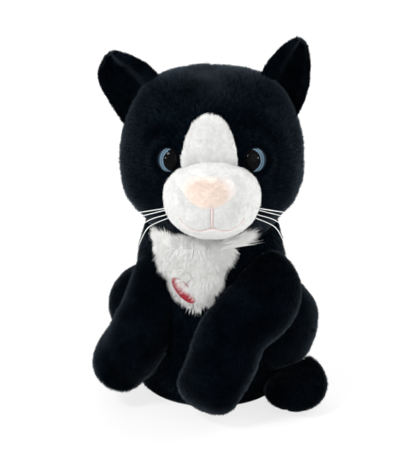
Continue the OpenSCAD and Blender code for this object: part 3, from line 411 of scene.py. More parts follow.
NIGHT, NIGHT_SHEEN = (0.0002, 0.0006, 0.0013), (0.62, 0.78, 0.95)
PILE_SCALE = 420.0
BLACK = plush("black_plush", NIGHT, (0.0010, 0.0021, 0.0038), 0.02, NIGHT_SHEEN, gloss=0.0)
NIGHT_PILE = {"scale": PILE_SCALE, "gloss": 0.0, "patches": 0.55, "spread": 0.09}
BLACK_PILE = plush("black_pile", NIGHT, (0.0034, 0.0066, 0.0106), 0.13, NIGHT_SHEEN, **NIGHT_PILE)
# A darker copy of the black pile: painted shade for the limbs and thighs, which get less light
SHADED_LIMB_PILE = plush("painted_shade_limb_pile", NIGHT, (0.0024, 0.0047, 0.0078), 0.20, NIGHT_SHEEN, **NIGHT_PILE)
# Paler strands: a painted highlight for light falling on the middle of the crown
PAINTED_HIGHLIGHT_CROWN_PILE = plush("painted_highlight_crown_pile", (0.002, 0.004, 0.006), (0.010, 0.0135, 0.017), 0.1, NIGHT_SHEEN, PILE_SCALE,
                   gloss=0.0, patches=0.7, spread=0.12)
WHITE = plush("white_plush", (0.86, 0.86, 0.845), (0.93, 0.93, 0.92), 0.1, (1, 1, 1))
WHITE_PILE = plush("white_pile", (0.80, 0.80, 0.785), (0.97, 0.97, 0.96), 0.1, (1, 1, 1), PILE_SCALE,
                   patches=0.1)
# A greyer copy of the white pile: painted shade from the head over the bib
SHADED_BIB_PILE = plush("bib_white", (0.72, 0.72, 0.70), (0.86, 0.86, 0.845), 0.1, (1, 1, 1), PILE_SCALE,
                 patches=0.5)
THREAD = plush("mouth_thread", (0.68, 0.54, 0.525), (0.78, 0.64, 0.62), 0.1, (1, 0.9, 0.9), 900.0, 0.7)
BADGE_RED = plush("badge_red", (0.17, 0.005, 0.014), (0.34, 0.015, 0.03), 0.1, (1, 0.6, 0.6), 500.0, 0.5)
WHISKER = moulded("whisker_white", (0.86, 0.86, 0.86), (0.95, 0.95, 0.95), 0.3)

# In radii of the eye; the shift is towards the nose, where the pupil's dark also paints the shade on the
# eye's inner side
PUPIL_AND_SHADE_SHIFT, PUPIL_R, IRIS_FAR = 0.80, 1.00, 1.80


def glass_eye(name):
    """A safety eye: a wide pupil set towards the nose, whose dark there is partly painted shade, and a blue
    crescent, under a clear coat.
    """
    m, nodes, links, shader = material(name)
    where = nodes.new("ShaderNodeTexCoord")
    shift = nodes.new("ShaderNodeMapping")
    per_radius = 1 / (EYE_R * MM * IRIS_FAR)
    setup(shift, {"Location": (-PUPIL_AND_SHADE_SHIFT / IRIS_FAR, 0, 0), "Scale": (per_radius, per_radius, 0)})
    links.new(where.outputs["Object"], shift.inputs["Vector"])
    far = operation(nodes, "LENGTH", "ShaderNodeVectorMath")
    links.new(shift.outputs["Vector"], far.inputs[0])
    spokes = noise(nodes, links, 800.0)
    wobble = operation(nodes, "MULTIPLY_ADD")
    wobble.inputs[1].default_value = 0.12
    links.new(spokes.outputs["Fac"], wobble.inputs[0])
    links.new(far.outputs["Value"], wobble.inputs[2])
    edge = PUPIL_R / IRIS_FAR + 0.06
    colour = ramp(nodes, links, wobble.outputs["Value"], [
        (0.0, (0.0006, 0.0006, 0.001)), (edge, (0.001, 0.001, 0.0015)),
        (edge + 0.02, (0.010, 0.022, 0.036)), (edge + 0.06, (0.15, 0.23, 0.30)),
        (edge + 0.12, (0.022, 0.045, 0.070)), (edge + 0.18, (0.12, 0.19, 0.25)),
        (edge + 0.27, (0.014, 0.028, 0.045)), (1.0, (0.003, 0.006, 0.010))])
    links.new(colour.outputs["Color"], shader.inputs["Base Color"])
    setup(shader, {"Roughness": 0.12, "Specular IOR Level": 0.0, "Coat Weight": 0.12, "Coat Roughness": 0.03})
    return m


def nose_cloth(name):
    """Peach pile that fades into the white muzzle at the pad's edge."""
    m = plush(name, (0.81, 0.66, 0.565), (0.86, 0.725, 0.64), 0.1, (1, 0.9, 0.85), 220.0)
    nodes, links = m.node_tree.nodes, m.node_tree.links
    shader = nodes["Principled BSDF"]
    peach = shader.inputs["Base Color"].links[0].from_socket
    where = nodes.new("ShaderNodeTexCoord")
    local = nodes.new("ShaderNodeMapping")
    local.vector_type = "TEXTURE"
    setup(local, {"Location": turned(NOSE_MID - [1.0, 0, 0.4]) * MM, "Rotation": (0, 0, HEAD_TURN),
                  "Scale": (NOSE_W * MM, 1.0, NOSE_DOWN * MM)})
    links.new(where.outputs["Object"], local.inputs["Vector"])
    far = operation(nodes, "LENGTH", "ShaderNodeVectorMath")
    links.new(local.outputs["Vector"], far.inputs[0])
    fade = nodes.new("ShaderNodeMapRange")
    fade.interpolation_type = "SMOOTHSTEP"
    setup(fade, {"From Min": 0.6, "From Max": 1.1})
    links.new(far.outputs["Value"], fade.inputs["Value"])
    mix = nodes.new("ShaderNodeMix")
    mix.data_type = "RGBA"
    mix.inputs["B"].default_value = (0.93, 0.90, 0.885, 1)
    links.new(fade.outputs["Result"], mix.inputs["Factor"])
    links.new(peach, mix.inputs["A"])
    links.new(mix.outputs["Result"], shader.inputs["Base Color"])
    return m


PEACH = nose_cloth("peach_plush")
EYE = glass_eye("eye_blue")
EYE_RIM = moulded("eye_rim", (0.001, 0.001, 0.0015), (0.003, 0.003, 0.004), 0.6, gloss=0.02)


# Plush pile: short curved strands grown from a piece's own faces

ROOT_DEPTH, CLUMP_SIZE, TAPER = 0.25, 9.0, 0.75


def pile(base, name, count, length, width, nap, finish, seed, lift=0.5, droop=0.3, wisp=0.5,
         segments=1, keep=None, short=None):
    """Three-sided strands on base, combed along nap(points, normals).

    keep gives the share of strands and short the share of their length at roots in millimetres.
    """
    mesh = base.data
    mesh.calc_loop_triangles()
    co, no = table(mesh.vertices, "co") / MM, table(mesh.vertices, "normal")
    tri = table(mesh.loop_triangles, "vertices", int)
    a, b, c = co[tri.T]
    area = np.linalg.norm(np.cross(b - a, c - a), axis=1)
    if keep is not None:
        area = area * keep((a + b + c) / 3)
    rng = np.random.default_rng(seed)
    pick = rng.choice(len(tri), count, p=area / area.sum())
    w = rng.random((count, 2))
    w = np.where(w.sum(1, keepdims=True) > 1, 1 - w, w)
    w = np.concatenate([1 - w.sum(1, keepdims=True), w], 1)[..., None]
    root = (co[tri[pick]] * w).sum(1)
    normal = unit((no[tri[pick]] * w).sum(1))
    comb = nap(root, normal)
    comb = unit(comb - normal * (comb * normal).sum(1, keepdims=True))
    drift = np.stack([lumps(root, CLUMP_SIZE, seed + k) for k in range(3)], 1) * wisp
    way = unit(normal * lift + comb * (1 - lift) + drift * 0.35 + rng.normal(size=(count, 3)) * 0.13)
    size = length * rng.uniform(0.7, 1.15, (count, 1))
    if short is not None:
        size = size * short(root)[:, None]
    first_side = unit(np.cross(way, normal + 0.001))
    second_side = np.cross(way, first_side)
    half = width * rng.uniform(0.35, 0.65, (count, 1))
    step = np.linspace(0, 1, segments + 1)
    spine = [root - normal * ROOT_DEPTH + way * size * t + (comb - 0.4 * normal) * size * droop * t * t
             for t in step]
    around = [first_side * math.cos(t) + second_side * math.sin(t)
              for t in (0.5 * np.pi, 7 / 6 * np.pi, 11 / 6 * np.pi)]
    points = [spine[k] + o * half * (1 - TAPER * step[k] ** 1.5) for k in range(segments) for o in around]
    points = np.stack(points + [spine[-1]], 1)
    shade = [normal * 0.8 + o * 0.35 for k in range(segments) for o in around] + [normal * 0.8 + way * 0.3]
    shade = unit(np.stack(shade, 1))
    each = 3 * segments + 1
    rows, places, sizes = [], [], []
    for k in range(segments):
        for f in range(3):
            g, u, v = (f + 1) % 3, (f + 0.1) / 3, (f + 0.9) / 3
            low, high = (k + 0.05) / segments, (k + 0.95) / segments
            if k < segments - 1:
                rows += [3 * k + f, 3 * k + g, 3 * k + 3 + g, 3 * k + 3 + f]
                places += [(u, low), (v, low), (v, high), (u, high)]
                sizes.append(4)
            else:
                rows += [3 * k + f, 3 * k + g, each - 1]
                places += [(u, low), (v, low), ((u + v) / 2, high)]
                sizes.append(3)
    loops = (np.arange(count)[:, None] * each + np.array(rows)[None]).ravel()
    sizes = np.tile(np.array(sizes), count)
    strands = bpy.data.meshes.new(name)
    strands.vertices.add(count * each)
    strands.vertices.foreach_set("co", (points * MM).ravel())
    strands.loops.add(loops.size)
    strands.loops.foreach_set("vertex_index", loops.astype(np.int32))
    strands.polygons.add(len(sizes))
    starts = np.concatenate([[0], np.cumsum(sizes)[:-1]]).astype(np.int32)
    strands.polygons.foreach_set("loop_start", starts)
    strands.update(calc_edges=True)
    cells = int(math.ceil(math.sqrt(count)))
    cell = np.stack([np.arange(count) % cells, np.arange(count) // cells], 1)
    uv = (cell[:, None] + 0.06 + 0.88 * np.array(places)[None]) / cells
    strands.uv_layers.new(name="OFBake").data.foreach_set("uv", uv.ravel())
    strands.polygons.foreach_set("use_smooth", np.ones(len(sizes), bool))
    strands.normals_split_custom_set_from_vertices(shade.reshape(-1, 3).tolist())
    strands.materials.append(finish)
    o = in_scene(name, strands)
    o.parent = base
    o["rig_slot"] = base["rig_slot"]


def piece(name, mesh, body, finish, slot, nodes):
    """A piece on a body that stands for CAD nodes."""
    o = link(name, outward(mesh), finish)
    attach(o, body)
    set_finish(o, slot)
    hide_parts(*nodes)
    return o


def toward(v):
    """Pile combed one way all over."""
    return lambda p, n: np.broadcast_to(np.array(v, float), p.shape)


# Torso: a stuffed sack with its bib and badge

def round_form(profile, sides):
    """Rings of points about the upright axis through a profile of [radius, height] rows."""
    a = angles(sides)
    r, z = profile[:, :1], profile[:, 1:]
    return np.stack([r * np.cos(a), r * np.sin(a), z + 0 * a], -1)


side_z = np.linspace(6.0, RIM_Z - 3.0, 60)
side = np.stack([torso_r(side_z), side_z], 1)
low_turn = [[36.0, 0.8], [40.0, 0.6], [42.2, 0.8], [44.2, 1.6], [45.6, 3.2]]
seat_in = np.linspace(NECK_R - 1.6, NECK_HOLE_R, 14)
seat = np.stack([seat_in, head_low(seat_in) - HEAD_GAP - 0.3], 1)
rim_turn = [[NECK_R + 0.05, RIM_Z - 1.7], [NECK_R - 0.5, RIM_Z - 0.8]]
lining = [[NECK_HOLE_R, seat[-1, 1] - 2.0], [LINING_R, seat[-1, 1] - 3.0], [LINING_R, 30.0]]
torso_profile = np.array(low_turn + side.tolist() + rim_turn + seat.tolist() + lining)


def torso_relief(p):
    """Uneven stuffing, and the seam down the middle of the back."""
    out = unit(p * np.array([1, 1, 0]))
    mid = np.clip((p[..., 2] - 4) / 10, 0, 1) * np.clip((RIM_Z - 6 - p[..., 2]) / 12, 0, 1)
    on_side = axis_r(p) > torso_r(p[..., 2]) - 0.6
    soft = 0.7 * lumps(p, 34, 11) - 1.1 * bell(p[..., 0], 1.6) * (p[..., 1] > 0)
    return p + out * (mid * on_side * soft)[..., None]


torso_rings = torso_relief(round_form(torso_profile, 180))


def wrap_mesh(name, rings):
    """A closed tube of rings, the last joined to the first."""
    m, n = rings.shape[:2]
    at = lambda i, j: (i % m) * n + j % n
    faces = [(a, d, c, b) for a, b, c, d in quads(at, m, n)]
    return face_mesh(name, rings.reshape(-1, 3) * MM, faces)


torso = piece("torso_plush", wrap_mesh("torso_plush", torso_rings), "body", BLACK, "black_plush",
              ["body_skin", "body_stuffing"])


def torso_shown(p):
    """Whether a point is on the torso's outer side."""
    return (axis_r(p) > torso_r(p[:, 2]) - 2.2) & (p[:, 2] > 2)


pile(torso, "torso_pile", 42000, 3.0, 0.4, toward((0, 0, -1)), BLACK_PILE, 21, keep=torso_shown,
     short=lambda p: np.clip((RIM_Z + 2 - p[:, 2]) / 12, 0.35, 1) * np.clip(p[:, 2] / 7, 0.3, 1))


BIB_TIP, BIB_TOP = 71.5, RIM_Z - 1.5


def bib_edges(k):
    """The bib's left and right edge, as angles round the torso, from its tip at 0 to its top at 1."""
    mid = np.radians(4.6 + 5.5 * (1 - np.clip(k, 0, 1)) ** 4)
    half = math.radians(32) * np.clip(k, 0, 1) ** 0.6
    return mid - half, mid + half


def bib_place(p):
    """How far up the bib a point is, and how far across it, from -1 to 1."""
    k = (p[:, 2] - BIB_TIP) / (BIB_TOP - BIB_TIP)
    lo, hi = bib_edges(k)
    u = (np.arctan2(p[:, 0], -p[:, 1]) - (lo + hi) / 2) / np.maximum((hi - lo) / 2, 0.05)
    return np.clip(k, 0, 1), np.clip(u, -1, 1)


def bib_sheet():
    """The white chest cloth on the torso's front, a little fuller towards the top."""
    k = np.linspace(0.015, 1, 56)[:, None]
    u = np.linspace(-1, 1, 50)[None, :]
    lo, hi = bib_edges(k)
    angle = (lo + hi) / 2 + (hi - lo) / 2 * u
    z = BIB_TIP + (BIB_TOP - BIB_TIP) * k + 0 * u
    inside = np.clip((1 - np.abs(u)) * 3, 0, 1) * np.clip(k * 6, 0, 1)
    uneven = 0.25 * lumps(np.stack([angle * 50, z, 0 * z], -1), 14, 31)
    crown = 0.35 + inside * (1.3 + 1.5 * rise(k, 0.55, 0.95)) + uneven
    r = torso_r(z) + crown
    return np.stack([r * np.sin(angle), -r * np.cos(angle), z], -1)


bib = piece("bib_plush", sheet_mesh("bib_plush", bib_sheet()), "body", WHITE, "white_plush", ["bib"])


def badge_plane(p):
    """Points in the badge's own directions: along it, across it."""
    x, z = p[..., 0] - BADGE_X, p[..., 2] - BADGE_Z
    c, s = math.cos(BADGE_TILT), math.sin(BADGE_TILT)
    return x * c + z * s, -x * s + z * c


def clear_of_badge(p):
    """Share of a strand's length: short under the badge and close round it."""
    a, b = badge_plane(p)
    near = np.sqrt((a / (BADGE_L / 2 + 1)) ** 2 + (b / (BADGE_W / 2 + 1)) ** 2)
    return np.clip((near - 0.9) * 1.6, 0.12, 1)


def bib_nap(p, n):
    """Combed down, and out sideways at the upper corners."""
    k, u = bib_place(p)
    corner = np.clip((k - 0.72) / 0.2, 0, 1) * u * np.abs(u)
    return np.stack([0.8 * corner + 0.3 * u, 0.3 * np.abs(corner), 0 * k - 1], 1)


def ruff_nap(p, n):
    """Combed up behind the chin, and sideways at the ends."""
    k, u = bib_place(p)
    return np.stack([1.1 * u * np.abs(u), 0.4 * np.abs(u), 0 * k + 0.9], 1)


def fringe_root(p):
    """Whether a point is in the band of cloth above the badge."""
    a, b = badge_plane(p)
    return (np.abs(a) < 0.5 * BADGE_L) & (b > 0.5 * BADGE_W + 1.5) & (b < 0.5 * BADGE_W + 5)


def tuft_root(p):
    """Whether a point is at the bib's upper left corner."""
    k, u = bib_place(p)
    return (u > 0.6) & (k > 0.95)


pile(bib, "bib_pile", 20000, 8.0, 0.5, bib_nap, SHADED_BIB_PILE, 33, lift=0.36, wisp=0.8, segments=2,
     short=clear_of_badge)
pile(bib, "bib_ruff", 3600, 9.0, 0.5, ruff_nap, SHADED_BIB_PILE, 34, lift=0.45, droop=0.15, segments=2,
     keep=lambda p: bib_place(p)[0] > 0.9)
pile(bib, "bib_fringe", 1100, 9.4, 0.5, toward((-0.7, 0, -0.7)), SHADED_BIB_PILE, 35, lift=0.8, droop=0.45,
     segments=2, keep=fringe_root)
pile(bib, "bib_tuft", 1500, 21.0, 0.6, toward((0.72, 0.62, 0.42)), SHADED_BIB_PILE, 37, lift=0.1, droop=0.05,
     wisp=0.35, segments=2, keep=tuft_root)


def badge_form():
    """The oval badge: a stitched rim round a domed face, as rows of size and height."""
    a = angles(96)
    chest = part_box("press_badge")[1].y / MM
    rows = [(1.0, 0.0), (1.03, 0.5), (1.02, 1.1), (0.98, 1.6), (0.92, 1.75), (0.86, 1.6), (0.83, 1.25),
            (0.8, 1.15), (0.6, 1.25), (0.4, 1.33), (0.2, 1.37)]
    c, t = math.cos(BADGE_TILT), math.sin(BADGE_TILT)
    rings = []
    for s, h in rows:
        stitch = 0.10 * np.sin(48 * a) if 0.85 < s < 1.0 else 0
        x, z = BADGE_L / 2 * s * np.cos(a), BADGE_W / 2 * s * np.sin(a)
        y = chest - h - stitch + 0 * a
        rings.append(np.stack([BADGE_X + c * x - t * z, y, BADGE_Z + t * x + c * z], 1))
    return ring_mesh("press_badge_red", rings, [BADGE_X, chest, BADGE_Z], [BADGE_X, chest - 1.4, BADGE_Z])


piece("press_badge_red", badge_form(), "chest_button", BADGE_RED, "badge", ["press_badge"])


# Limbs, thighs and tail

# Stations of [x, y, z, width, height], half width, half height, round share of each end, side
LEGS = {
    "left_foreleg": (
        [[40, -3, 97, .78, .8], [45, -23, 76, 1.2, 1.1], [33, -42, 57, 1.15, 1.05],
         [28, -53, 38, 1.1, 1], [23, -61, 23, 1.1, .9], [19, -70, 13, 1, .65]], 20, 20, .16, .16, 1),
    "right_foreleg": (
        [[-21, -20, 94, .8, .9], [-23, -37, 76, .85, .95], [-26, -46, 57, .9, 1],
         [-34, -48, 40, 1, 1], [-44, -47, 25, 1.16, .92], [-49, -48, 13, 1.25, .66]], 20, 20, .16, .11, -1),
    "left_hind_foot": (
        [[50, 8, 15, .9, 1], [61, -5, 13.5, 1.05, .92], [66, -20, 12.5, 1.05, .86], [65, -38, 11, 1, .76]],
        18, 14, .25, .3, 1),
    "right_hind_foot": (
        [[-40, 16, 15, .8, 1], [-52, 17, 15, .9, 1], [-64, 16, 15, .9, 1], [-76, 14, 12, .75, .8]],
        18, 14, .25, .3, -1),
    "tail": (
        [[6, 46, 16, 1, 1], [2, 60, 13, 1, 1], [-16, 69, 11, 1, 1], [-38, 68, 11, 1, 1],
         [-56, 60, 11, 1, 1], [-70, 46, 11, .9, .9]], 9, 9, .06, .1, 0),
}
SEAM = math.radians(270)
FLOOR_GAP = 0.6


def path_nap(path):
    """Pile combed along a limb, from the body outwards."""
    line = along(path, np.linspace(0, 1, 60))[:, :3]
    flow = unit(np.gradient(line, axis=0))

    def nap(p, n):
        near = np.argmin(((p[:, None] - line[None]) ** 2).sum(-1), 1)
        return flow[near]
    return nap


def swell(rings, amount, size, seed):
    """Uneven stuffing along each ring's own radius, and a sewn seam along the limb's underside."""
    out = unit(rings - rings.mean(1, keepdims=True))
    a = angles(rings.shape[1])
    gap = np.abs((a - SEAM + np.pi) % (2 * np.pi) - np.pi)
    push = amount * lumps(rings, size, seed) - 1.3 * bell(gap * 18, 1.6)[None, :]
    return rings + out * push[..., None]


def with_ends(rings, ends):
    """Rings with each end's point as one more ring."""
    first, last = (end + 0 * rings[:1] for end in ends)
    return np.concatenate([first, rings, last])


def free_of(p):
    """Whether a point of a limb is clear of the torso's cloth and the floor."""
    return (axis_r(p) > torso_r(p[:, 2]) + 0.7) & (p[:, 2] > 1.6)


for k, (name, (path, half_w, half_h, cap_in, cap_out, hand)) in enumerate(LEGS.items()):
    rings = swell(limb_rings(path, half_w, half_h, 90, 72, cap_in, cap_out), 0.5, 26, 40 + k)
    rings = off_torso(with_ends(rings, np.asarray(path, float)[[0, -1], :3]), SEWN_GAP)
    if hand:
        rings = off_thigh(rings, hand, SEWN_GAP)
    if "foreleg" in name:
        rings = off_head(rings, 2.2)
    rings[..., 2] = np.maximum(rings[..., 2], FLOOR_GAP)
    mesh = ring_mesh(name + "_plush", rings[1:-1], rings[0, 0], rings[-1, 0])
    leg = piece(name + "_plush", mesh, "body", BLACK, "black_plush", [name])
    count = 24000 if "foreleg" in name else 12000
    pile(leg, name + "_pile", count, 2.8, 0.4, path_nap(path), SHADED_LIMB_PILE, 60 + k, keep=free_of,
         short=lambda p: np.clip(p[:, 2] / 6, 0.3, 1) * np.clip((113 - p[:, 2]) / 10, 0.3, 1))


# The thighs are a little smaller than their solids; the right one sits further out
THIGH_LEAN = {1: np.zeros(3), -1: np.array([-3.5, 0.0, 1.0])}
THIGH_SHARE = {1: np.array([0.88, 1.0, 0.93]), -1: np.array([1.0, 0.85, 0.82])}


def thigh_form(hand):
    """A thigh: a flattened ball on the torso's side."""
    t = np.linspace(0, np.pi, 62)[1:-1, None]
    a = angles(96)[None]
    local = np.stack([hand * np.cos(t) + 0 * a, np.sin(t) * np.cos(a), np.sin(t) * np.sin(a)], -1)
    mid = np.array(THIGH_MID) * [hand, 1, 1] + THIGH_LEAN[hand]
    rings = mid + local * np.array(THIGH_HALF) * THIGH_SHARE[hand]
    rings = rings + local * (0.6 * lumps(rings, 30, 71))[..., None]
    ends = mid + np.array([[1, 0, 0], [-1, 0, 0]]) * THIGH_HALF[0] * hand
    return off_torso(with_ends(rings, ends), SEWN_GAP)


for hand, name in ((1, "left_thigh"), (-1, "right_thigh")):
    rings = thigh_form(hand)
    mesh = ring_mesh(name + "_plush", rings[1:-1], rings[0, 0], rings[-1, 0])
    thigh = piece(name + "_plush", mesh, "body", BLACK, "black_plush", [name])
    pile(thigh, name + "_pile", 18000, 2.9, 0.4, toward((0, -0.5, -1)), SHADED_LIMB_PILE, 80 + hand, keep=free_of)


# Head: everything here is shaped facing -Y and then turned to its place

def eye_place(hand):
    """The middle of an eye on the head's skin, and the way it looks."""
    r = head_r(EYE_Z)
    sweep = math.asin(EYE_X / r)
    up, flat = ((EYE_Z - HEAD_Z) / HEAD_R) ** 1.2, (r / HEAD_R) ** 1.2
    tilt = math.atan2(up, flat)
    level = math.cos(tilt)
    way = np.array([level * hand * math.sin(sweep), -level * math.cos(sweep), math.sin(tilt)])
    return np.array([hand * EYE_X, -r * math.cos(sweep), EYE_Z]), way


EYES = {hand: eye_place(hand) for hand in (1, -1)}


def head_relief(p):
    """How far the stuffing lifts the head's skin at points of its plain form."""
    out = np.zeros(p.shape[:-1])
    for hand in (1, -1):
        out += 1.5 * bell(distance(p, EYES[hand][0]) - 11, 3.5)
        out += 1.6 * bell(distance(p, [hand * 15, -54, 173]), 7)
        out += 1.6 * bell(distance(p, [hand * 46, -32, 140]), 17)
        out += 3.6 * bell(distance(p, [hand * 33, 0, HEAD_Z + 47]), 19)
    out -= 1.3 * bell(distance(p, [0, 0, HEAD_Z + HEAD_R]), 26)
    out -= 1.0 * bell(p[..., 0], 1.5) * np.clip((p[..., 1] - 10) / 10, 0, 1)
    out += 0.45 * lumps(p, 30, 91)
    slim = 3.2 * bell(p[..., 2] - 121, 10) * np.clip((np.abs(p[..., 0]) - 16) / 16, 0, 1)
    return out * np.clip((p[..., 2] - 116) / 14, 0, 1) - slim


def lifted(p, extra=0.0):
    """Points of the head's plain form, raised by its stuffing."""
    way = unit(p - np.array([0, 0, HEAD_Z]))
    return p + way * (head_relief(p) + extra)[..., None]


low = math.acos((NECK_HOLE_R / HEAD_R) ** (HEAD_N / 2))
lat = np.linspace(-low, math.pi / 2 - 0.012, 120)
head_profile = np.stack([HEAD_R * np.cos(lat) ** (2 / HEAD_N),
                         HEAD_Z + HEAD_R * spow(np.sin(lat), 2 / HEAD_N)], 1)
foot_z = head_profile[0, 1]
head_inside = np.array([[13.5, foot_z + 3.5], [16.6, foot_z + 2.2]])
head_rings = lifted(round_form(np.concatenate([head_inside, head_profile]), 200))
head_top = lifted(np.array([[0, 0, HEAD_Z + HEAD_R]]))[0]
head_mesh = ring_mesh("head_plush", turned(head_rings), [0, 0, foot_z + 4], head_top)
head = piece("head_plush", head_mesh, "head", BLACK, "black_plush", ["head_skin", "head_stuffing"])


def from_nose(p, n):
    """Pile combed away from a point above the nose."""
    away = unturned(p) - NOSE_MID
    away[:, 2] -= 12
    return turned(away)


def from_eyes(q):
    """How far points of the unturned head are from the nearer eye."""
    return np.minimum(*(distance(q, EYES[hand][0]) for hand in (1, -1)))


def blaze_half(k):
    """Half width of the forehead strip, from its foot at 0 to its round top at 1."""
    return 16.5 * np.sqrt(np.maximum(0, 1 - k ** 2.8))


def in_blaze(q):
    """Whether points of the unturned head lie under the forehead strip."""
    k = (q[:, 2] - BLAZE_LOW) / (BLAZE_TOP - BLAZE_LOW)
    across = np.abs(q[:, 0] - BLAZE_X) < blaze_half(np.clip(k, 0, 1)) - 1.5
    return across & (k > 0) & (k < 0.97) & (q[:, 1] < 0)


def head_shown(p):
    """Whether the head's black cloth shows."""
    q = unturned(p)
    under_muzzle = (muzzle_level(q[:, 0], q[:, 2]) < 0.96) & (q[:, 1] < 0)
    return (from_eyes(q) > EYE_CLEAR) & ~under_muzzle & ~in_blaze(q) & (q[:, 2] > 104)


def head_short(p):
    """Share of a strand's length: short at the neck and round the eyes."""
    near = from_eyes(unturned(p))
    return np.clip((p[:, 2] - 106) / 16, 0.15, 1) * np.clip((near - 4) / 10, 0.35, 1)


pile(head, "head_pile", 64000, 3.0, 0.4, from_nose, BLACK_PILE, 101, keep=head_shown, short=head_short)


def painted_highlight_strip(p):
    """How thickly the paler strands stand on the middle of the crown: a painted highlight for light falling
    on the top of the head.
    """
    q = unturned(p)
    return bell(q[:, 0] + 1, 7.5) * rise(q[:, 2], HEAD_Z + 43, HEAD_Z + 56) * (1 - rise(q[:, 1], -12, 22))


pile(head, "painted_highlight_crown_pile", 2000, 3.2, 0.4, from_nose, PAINTED_HIGHLIGHT_CROWN_PILE, 103, lift=0.62, keep=painted_highlight_strip)


def blaze_sheet():
    """The white strip of cloth from the muzzle up the forehead."""
    k = np.linspace(0, 0.985, 46)[:, None]
    u = np.linspace(-1, 1, 40)[None, :]
    x, z = BLAZE_X + blaze_half(k) * u, BLAZE_LOW + (BLAZE_TOP - BLAZE_LOW) * k + 0 * u
    crown = 0.3 + 1.1 * np.clip((1 - np.abs(u)) * 4, 0, 1) * np.clip((1 - k) * 7, 0, 1)
    return turned(lifted(np.stack([x, -head_front(x, z), z], -1), crown))


blaze = piece("blaze_plush", sheet_mesh("blaze_plush", blaze_sheet()), "head", WHITE, "white_plush",
              ["blaze"])
pile(blaze, "blaze_pile", 12000, 2.4, 0.38, toward((0, 0.3, 1)), WHITE_PILE, 111)


def muzzle_points(level, a):
    """One ring of the muzzle's cloth, from its middle at level 0 to its outline at 1."""
    x = MUZZLE_W * level * spow(np.cos(a), 2 / HEAD_N)
    z = MUZZLE_Z + np.where(np.sin(a) > 0, MUZZLE_UP, MUZZLE_DOWN) * level * spow(np.sin(a), 2 / HEAD_N)
    return np.stack([x, -muzzle_front(x, z), z], -1)


turn_a = angles(128)
levels = np.sin(np.linspace(0.02, math.pi / 2, 70))
muzzle_rings = [muzzle_points(v, turn_a) for v in levels]
back = muzzle_rings[-1].copy()
back[:, 1] = -head_front(back[:, 0], back[:, 2]) - MUZZLE_SEAT
inner = (back - [0, 0, MUZZLE_Z]) * [0.5, 1, 0.5] + [0, 0, MUZZLE_Z]
inner[:, 1] = -head_front(inner[:, 0], inner[:, 2]) - MUZZLE_SEAT
muzzle_rings = turned(np.array(muzzle_rings + [back, inner]))
muzzle_tip = turned(muzzle_points(0.0, np.array([0.0])))[0]
muzzle_back = turned(np.array([[0, -head_front(0.0, MUZZLE_Z) - MUZZLE_SEAT, MUZZLE_Z]]))[0]
muzzle_mesh = ring_mesh("muzzle_plush", muzzle_rings, muzzle_tip, muzzle_back)
muzzle = piece("muzzle_plush", muzzle_mesh, "head", WHITE, "white_plush", ["muzzle"])


def nose_level(x, z):
    """0 at the nose pad's middle and 1 on its outline: nearly straight above, a soft point below."""
    x, d = np.abs(x - NOSE_MID[0]) / NOSE_W, z - NOSE_MID[2]
    above = (x ** NOSE_FLAT + (np.maximum(d, 0) / NOSE_UP) ** NOSE_FLAT) ** (1 / NOSE_FLAT)
    below = (x ** NOSE_POINT + (np.maximum(-d, 0) / NOSE_DOWN) ** NOSE_POINT) ** (1 / NOSE_POINT)
    return np.where(d > 0, above, below)


def muzzle_shown(p):
    """Whether a point is on the muzzle's front, off mouth and nose."""
    q = unturned(p)
    smile = (np.abs(q[:, 2] - smile_z(q[:, 0])) < 1.3) & (np.abs(q[:, 0]) <= MOUTH_HALF + 0.5)
    drop = (np.abs(q[:, 0]) < 1.3) & (q[:, 2] <= DROP_TOP + 0.5) & (q[:, 2] >= DROP_FOOT - 0.5)
    bare = smile | drop | (nose_level(q[:, 0], q[:, 2]) < 0.93)
    return (q[:, 1] < -head_front(q[:, 0], q[:, 2]) - 1.2) & ~bare


pile(muzzle, "muzzle_pile", 40000, 2.2, 0.36, from_nose, WHITE_PILE, 121, keep=muzzle_shown)


def on_muzzle(x, z, off):
    """Points at x and z that stand off the muzzle's cloth."""
    return np.stack([x, -muzzle_front(x, z) - off, z], -1)


def nose_form():
    """The nose pad as rows of size and height on the muzzle's front."""
    t = angles(96)
    up = np.sin(t) > 0
    bend = np.where(up, 2 / NOSE_FLAT, 2 / NOSE_POINT)
    edge_x = NOSE_W * spow(np.cos(t), bend)
    edge_z = np.where(up, NOSE_UP, NOSE_DOWN) * spow(np.sin(t), bend)
    rows = [(0.12, 1.5), (0.3, 1.48), (0.5, 1.4), (0.68, 1.25), (0.82, 1.05), (0.92, 0.8), (0.98, 0.5),
            (1.0, 0.2)]
    rings = []
    for v, height in rows:
        x, z = NOSE_MID[0] + edge_x * v, NOSE_MID[2] + edge_z * v
        rings.append(on_muzzle(x, z, height))
    back = np.array(rings[-1])
    back[:, 1] += 0.4
    mid = np.array([NOSE_MID[0], -muzzle_front(NOSE_MID[0], NOSE_MID[2]), NOSE_MID[2]])
    rings = turned(np.array(rings + [back]))
    return ring_mesh("nose_plush", rings, turned(mid[None] - [0, 1.5, 0])[0], turned(mid[None])[0])


def nose_shown(p):
    """Whether a point is on the nose pad's front."""
    q = unturned(p)
    return q[:, 1] < -muzzle_front(q[:, 0], q[:, 2]) - 0.4


nose = piece("nose_plush", nose_form(), "head", PEACH, "nose_pad", ["nose"])
pile(nose, "nose_pile", 6000, 1.1, 0.3, from_nose, PEACH, 131, lift=0.6, keep=nose_shown)

smile_x = np.linspace(-MOUTH_HALF, MOUTH_HALF, 45)
drop_z = np.linspace(DROP_TOP, DROP_FOOT, 15)
mouth_paths = [turned(on_muzzle(smile_x, smile_z(smile_x), 1.0)),
               turned(on_muzzle(0 * drop_z, drop_z, 1.0))]
piece("mouth_thread", tube_mesh("mouth_thread", mouth_paths, 0.62, steps=90), "head", THREAD, "thread",
      ["mouth_stitching"])

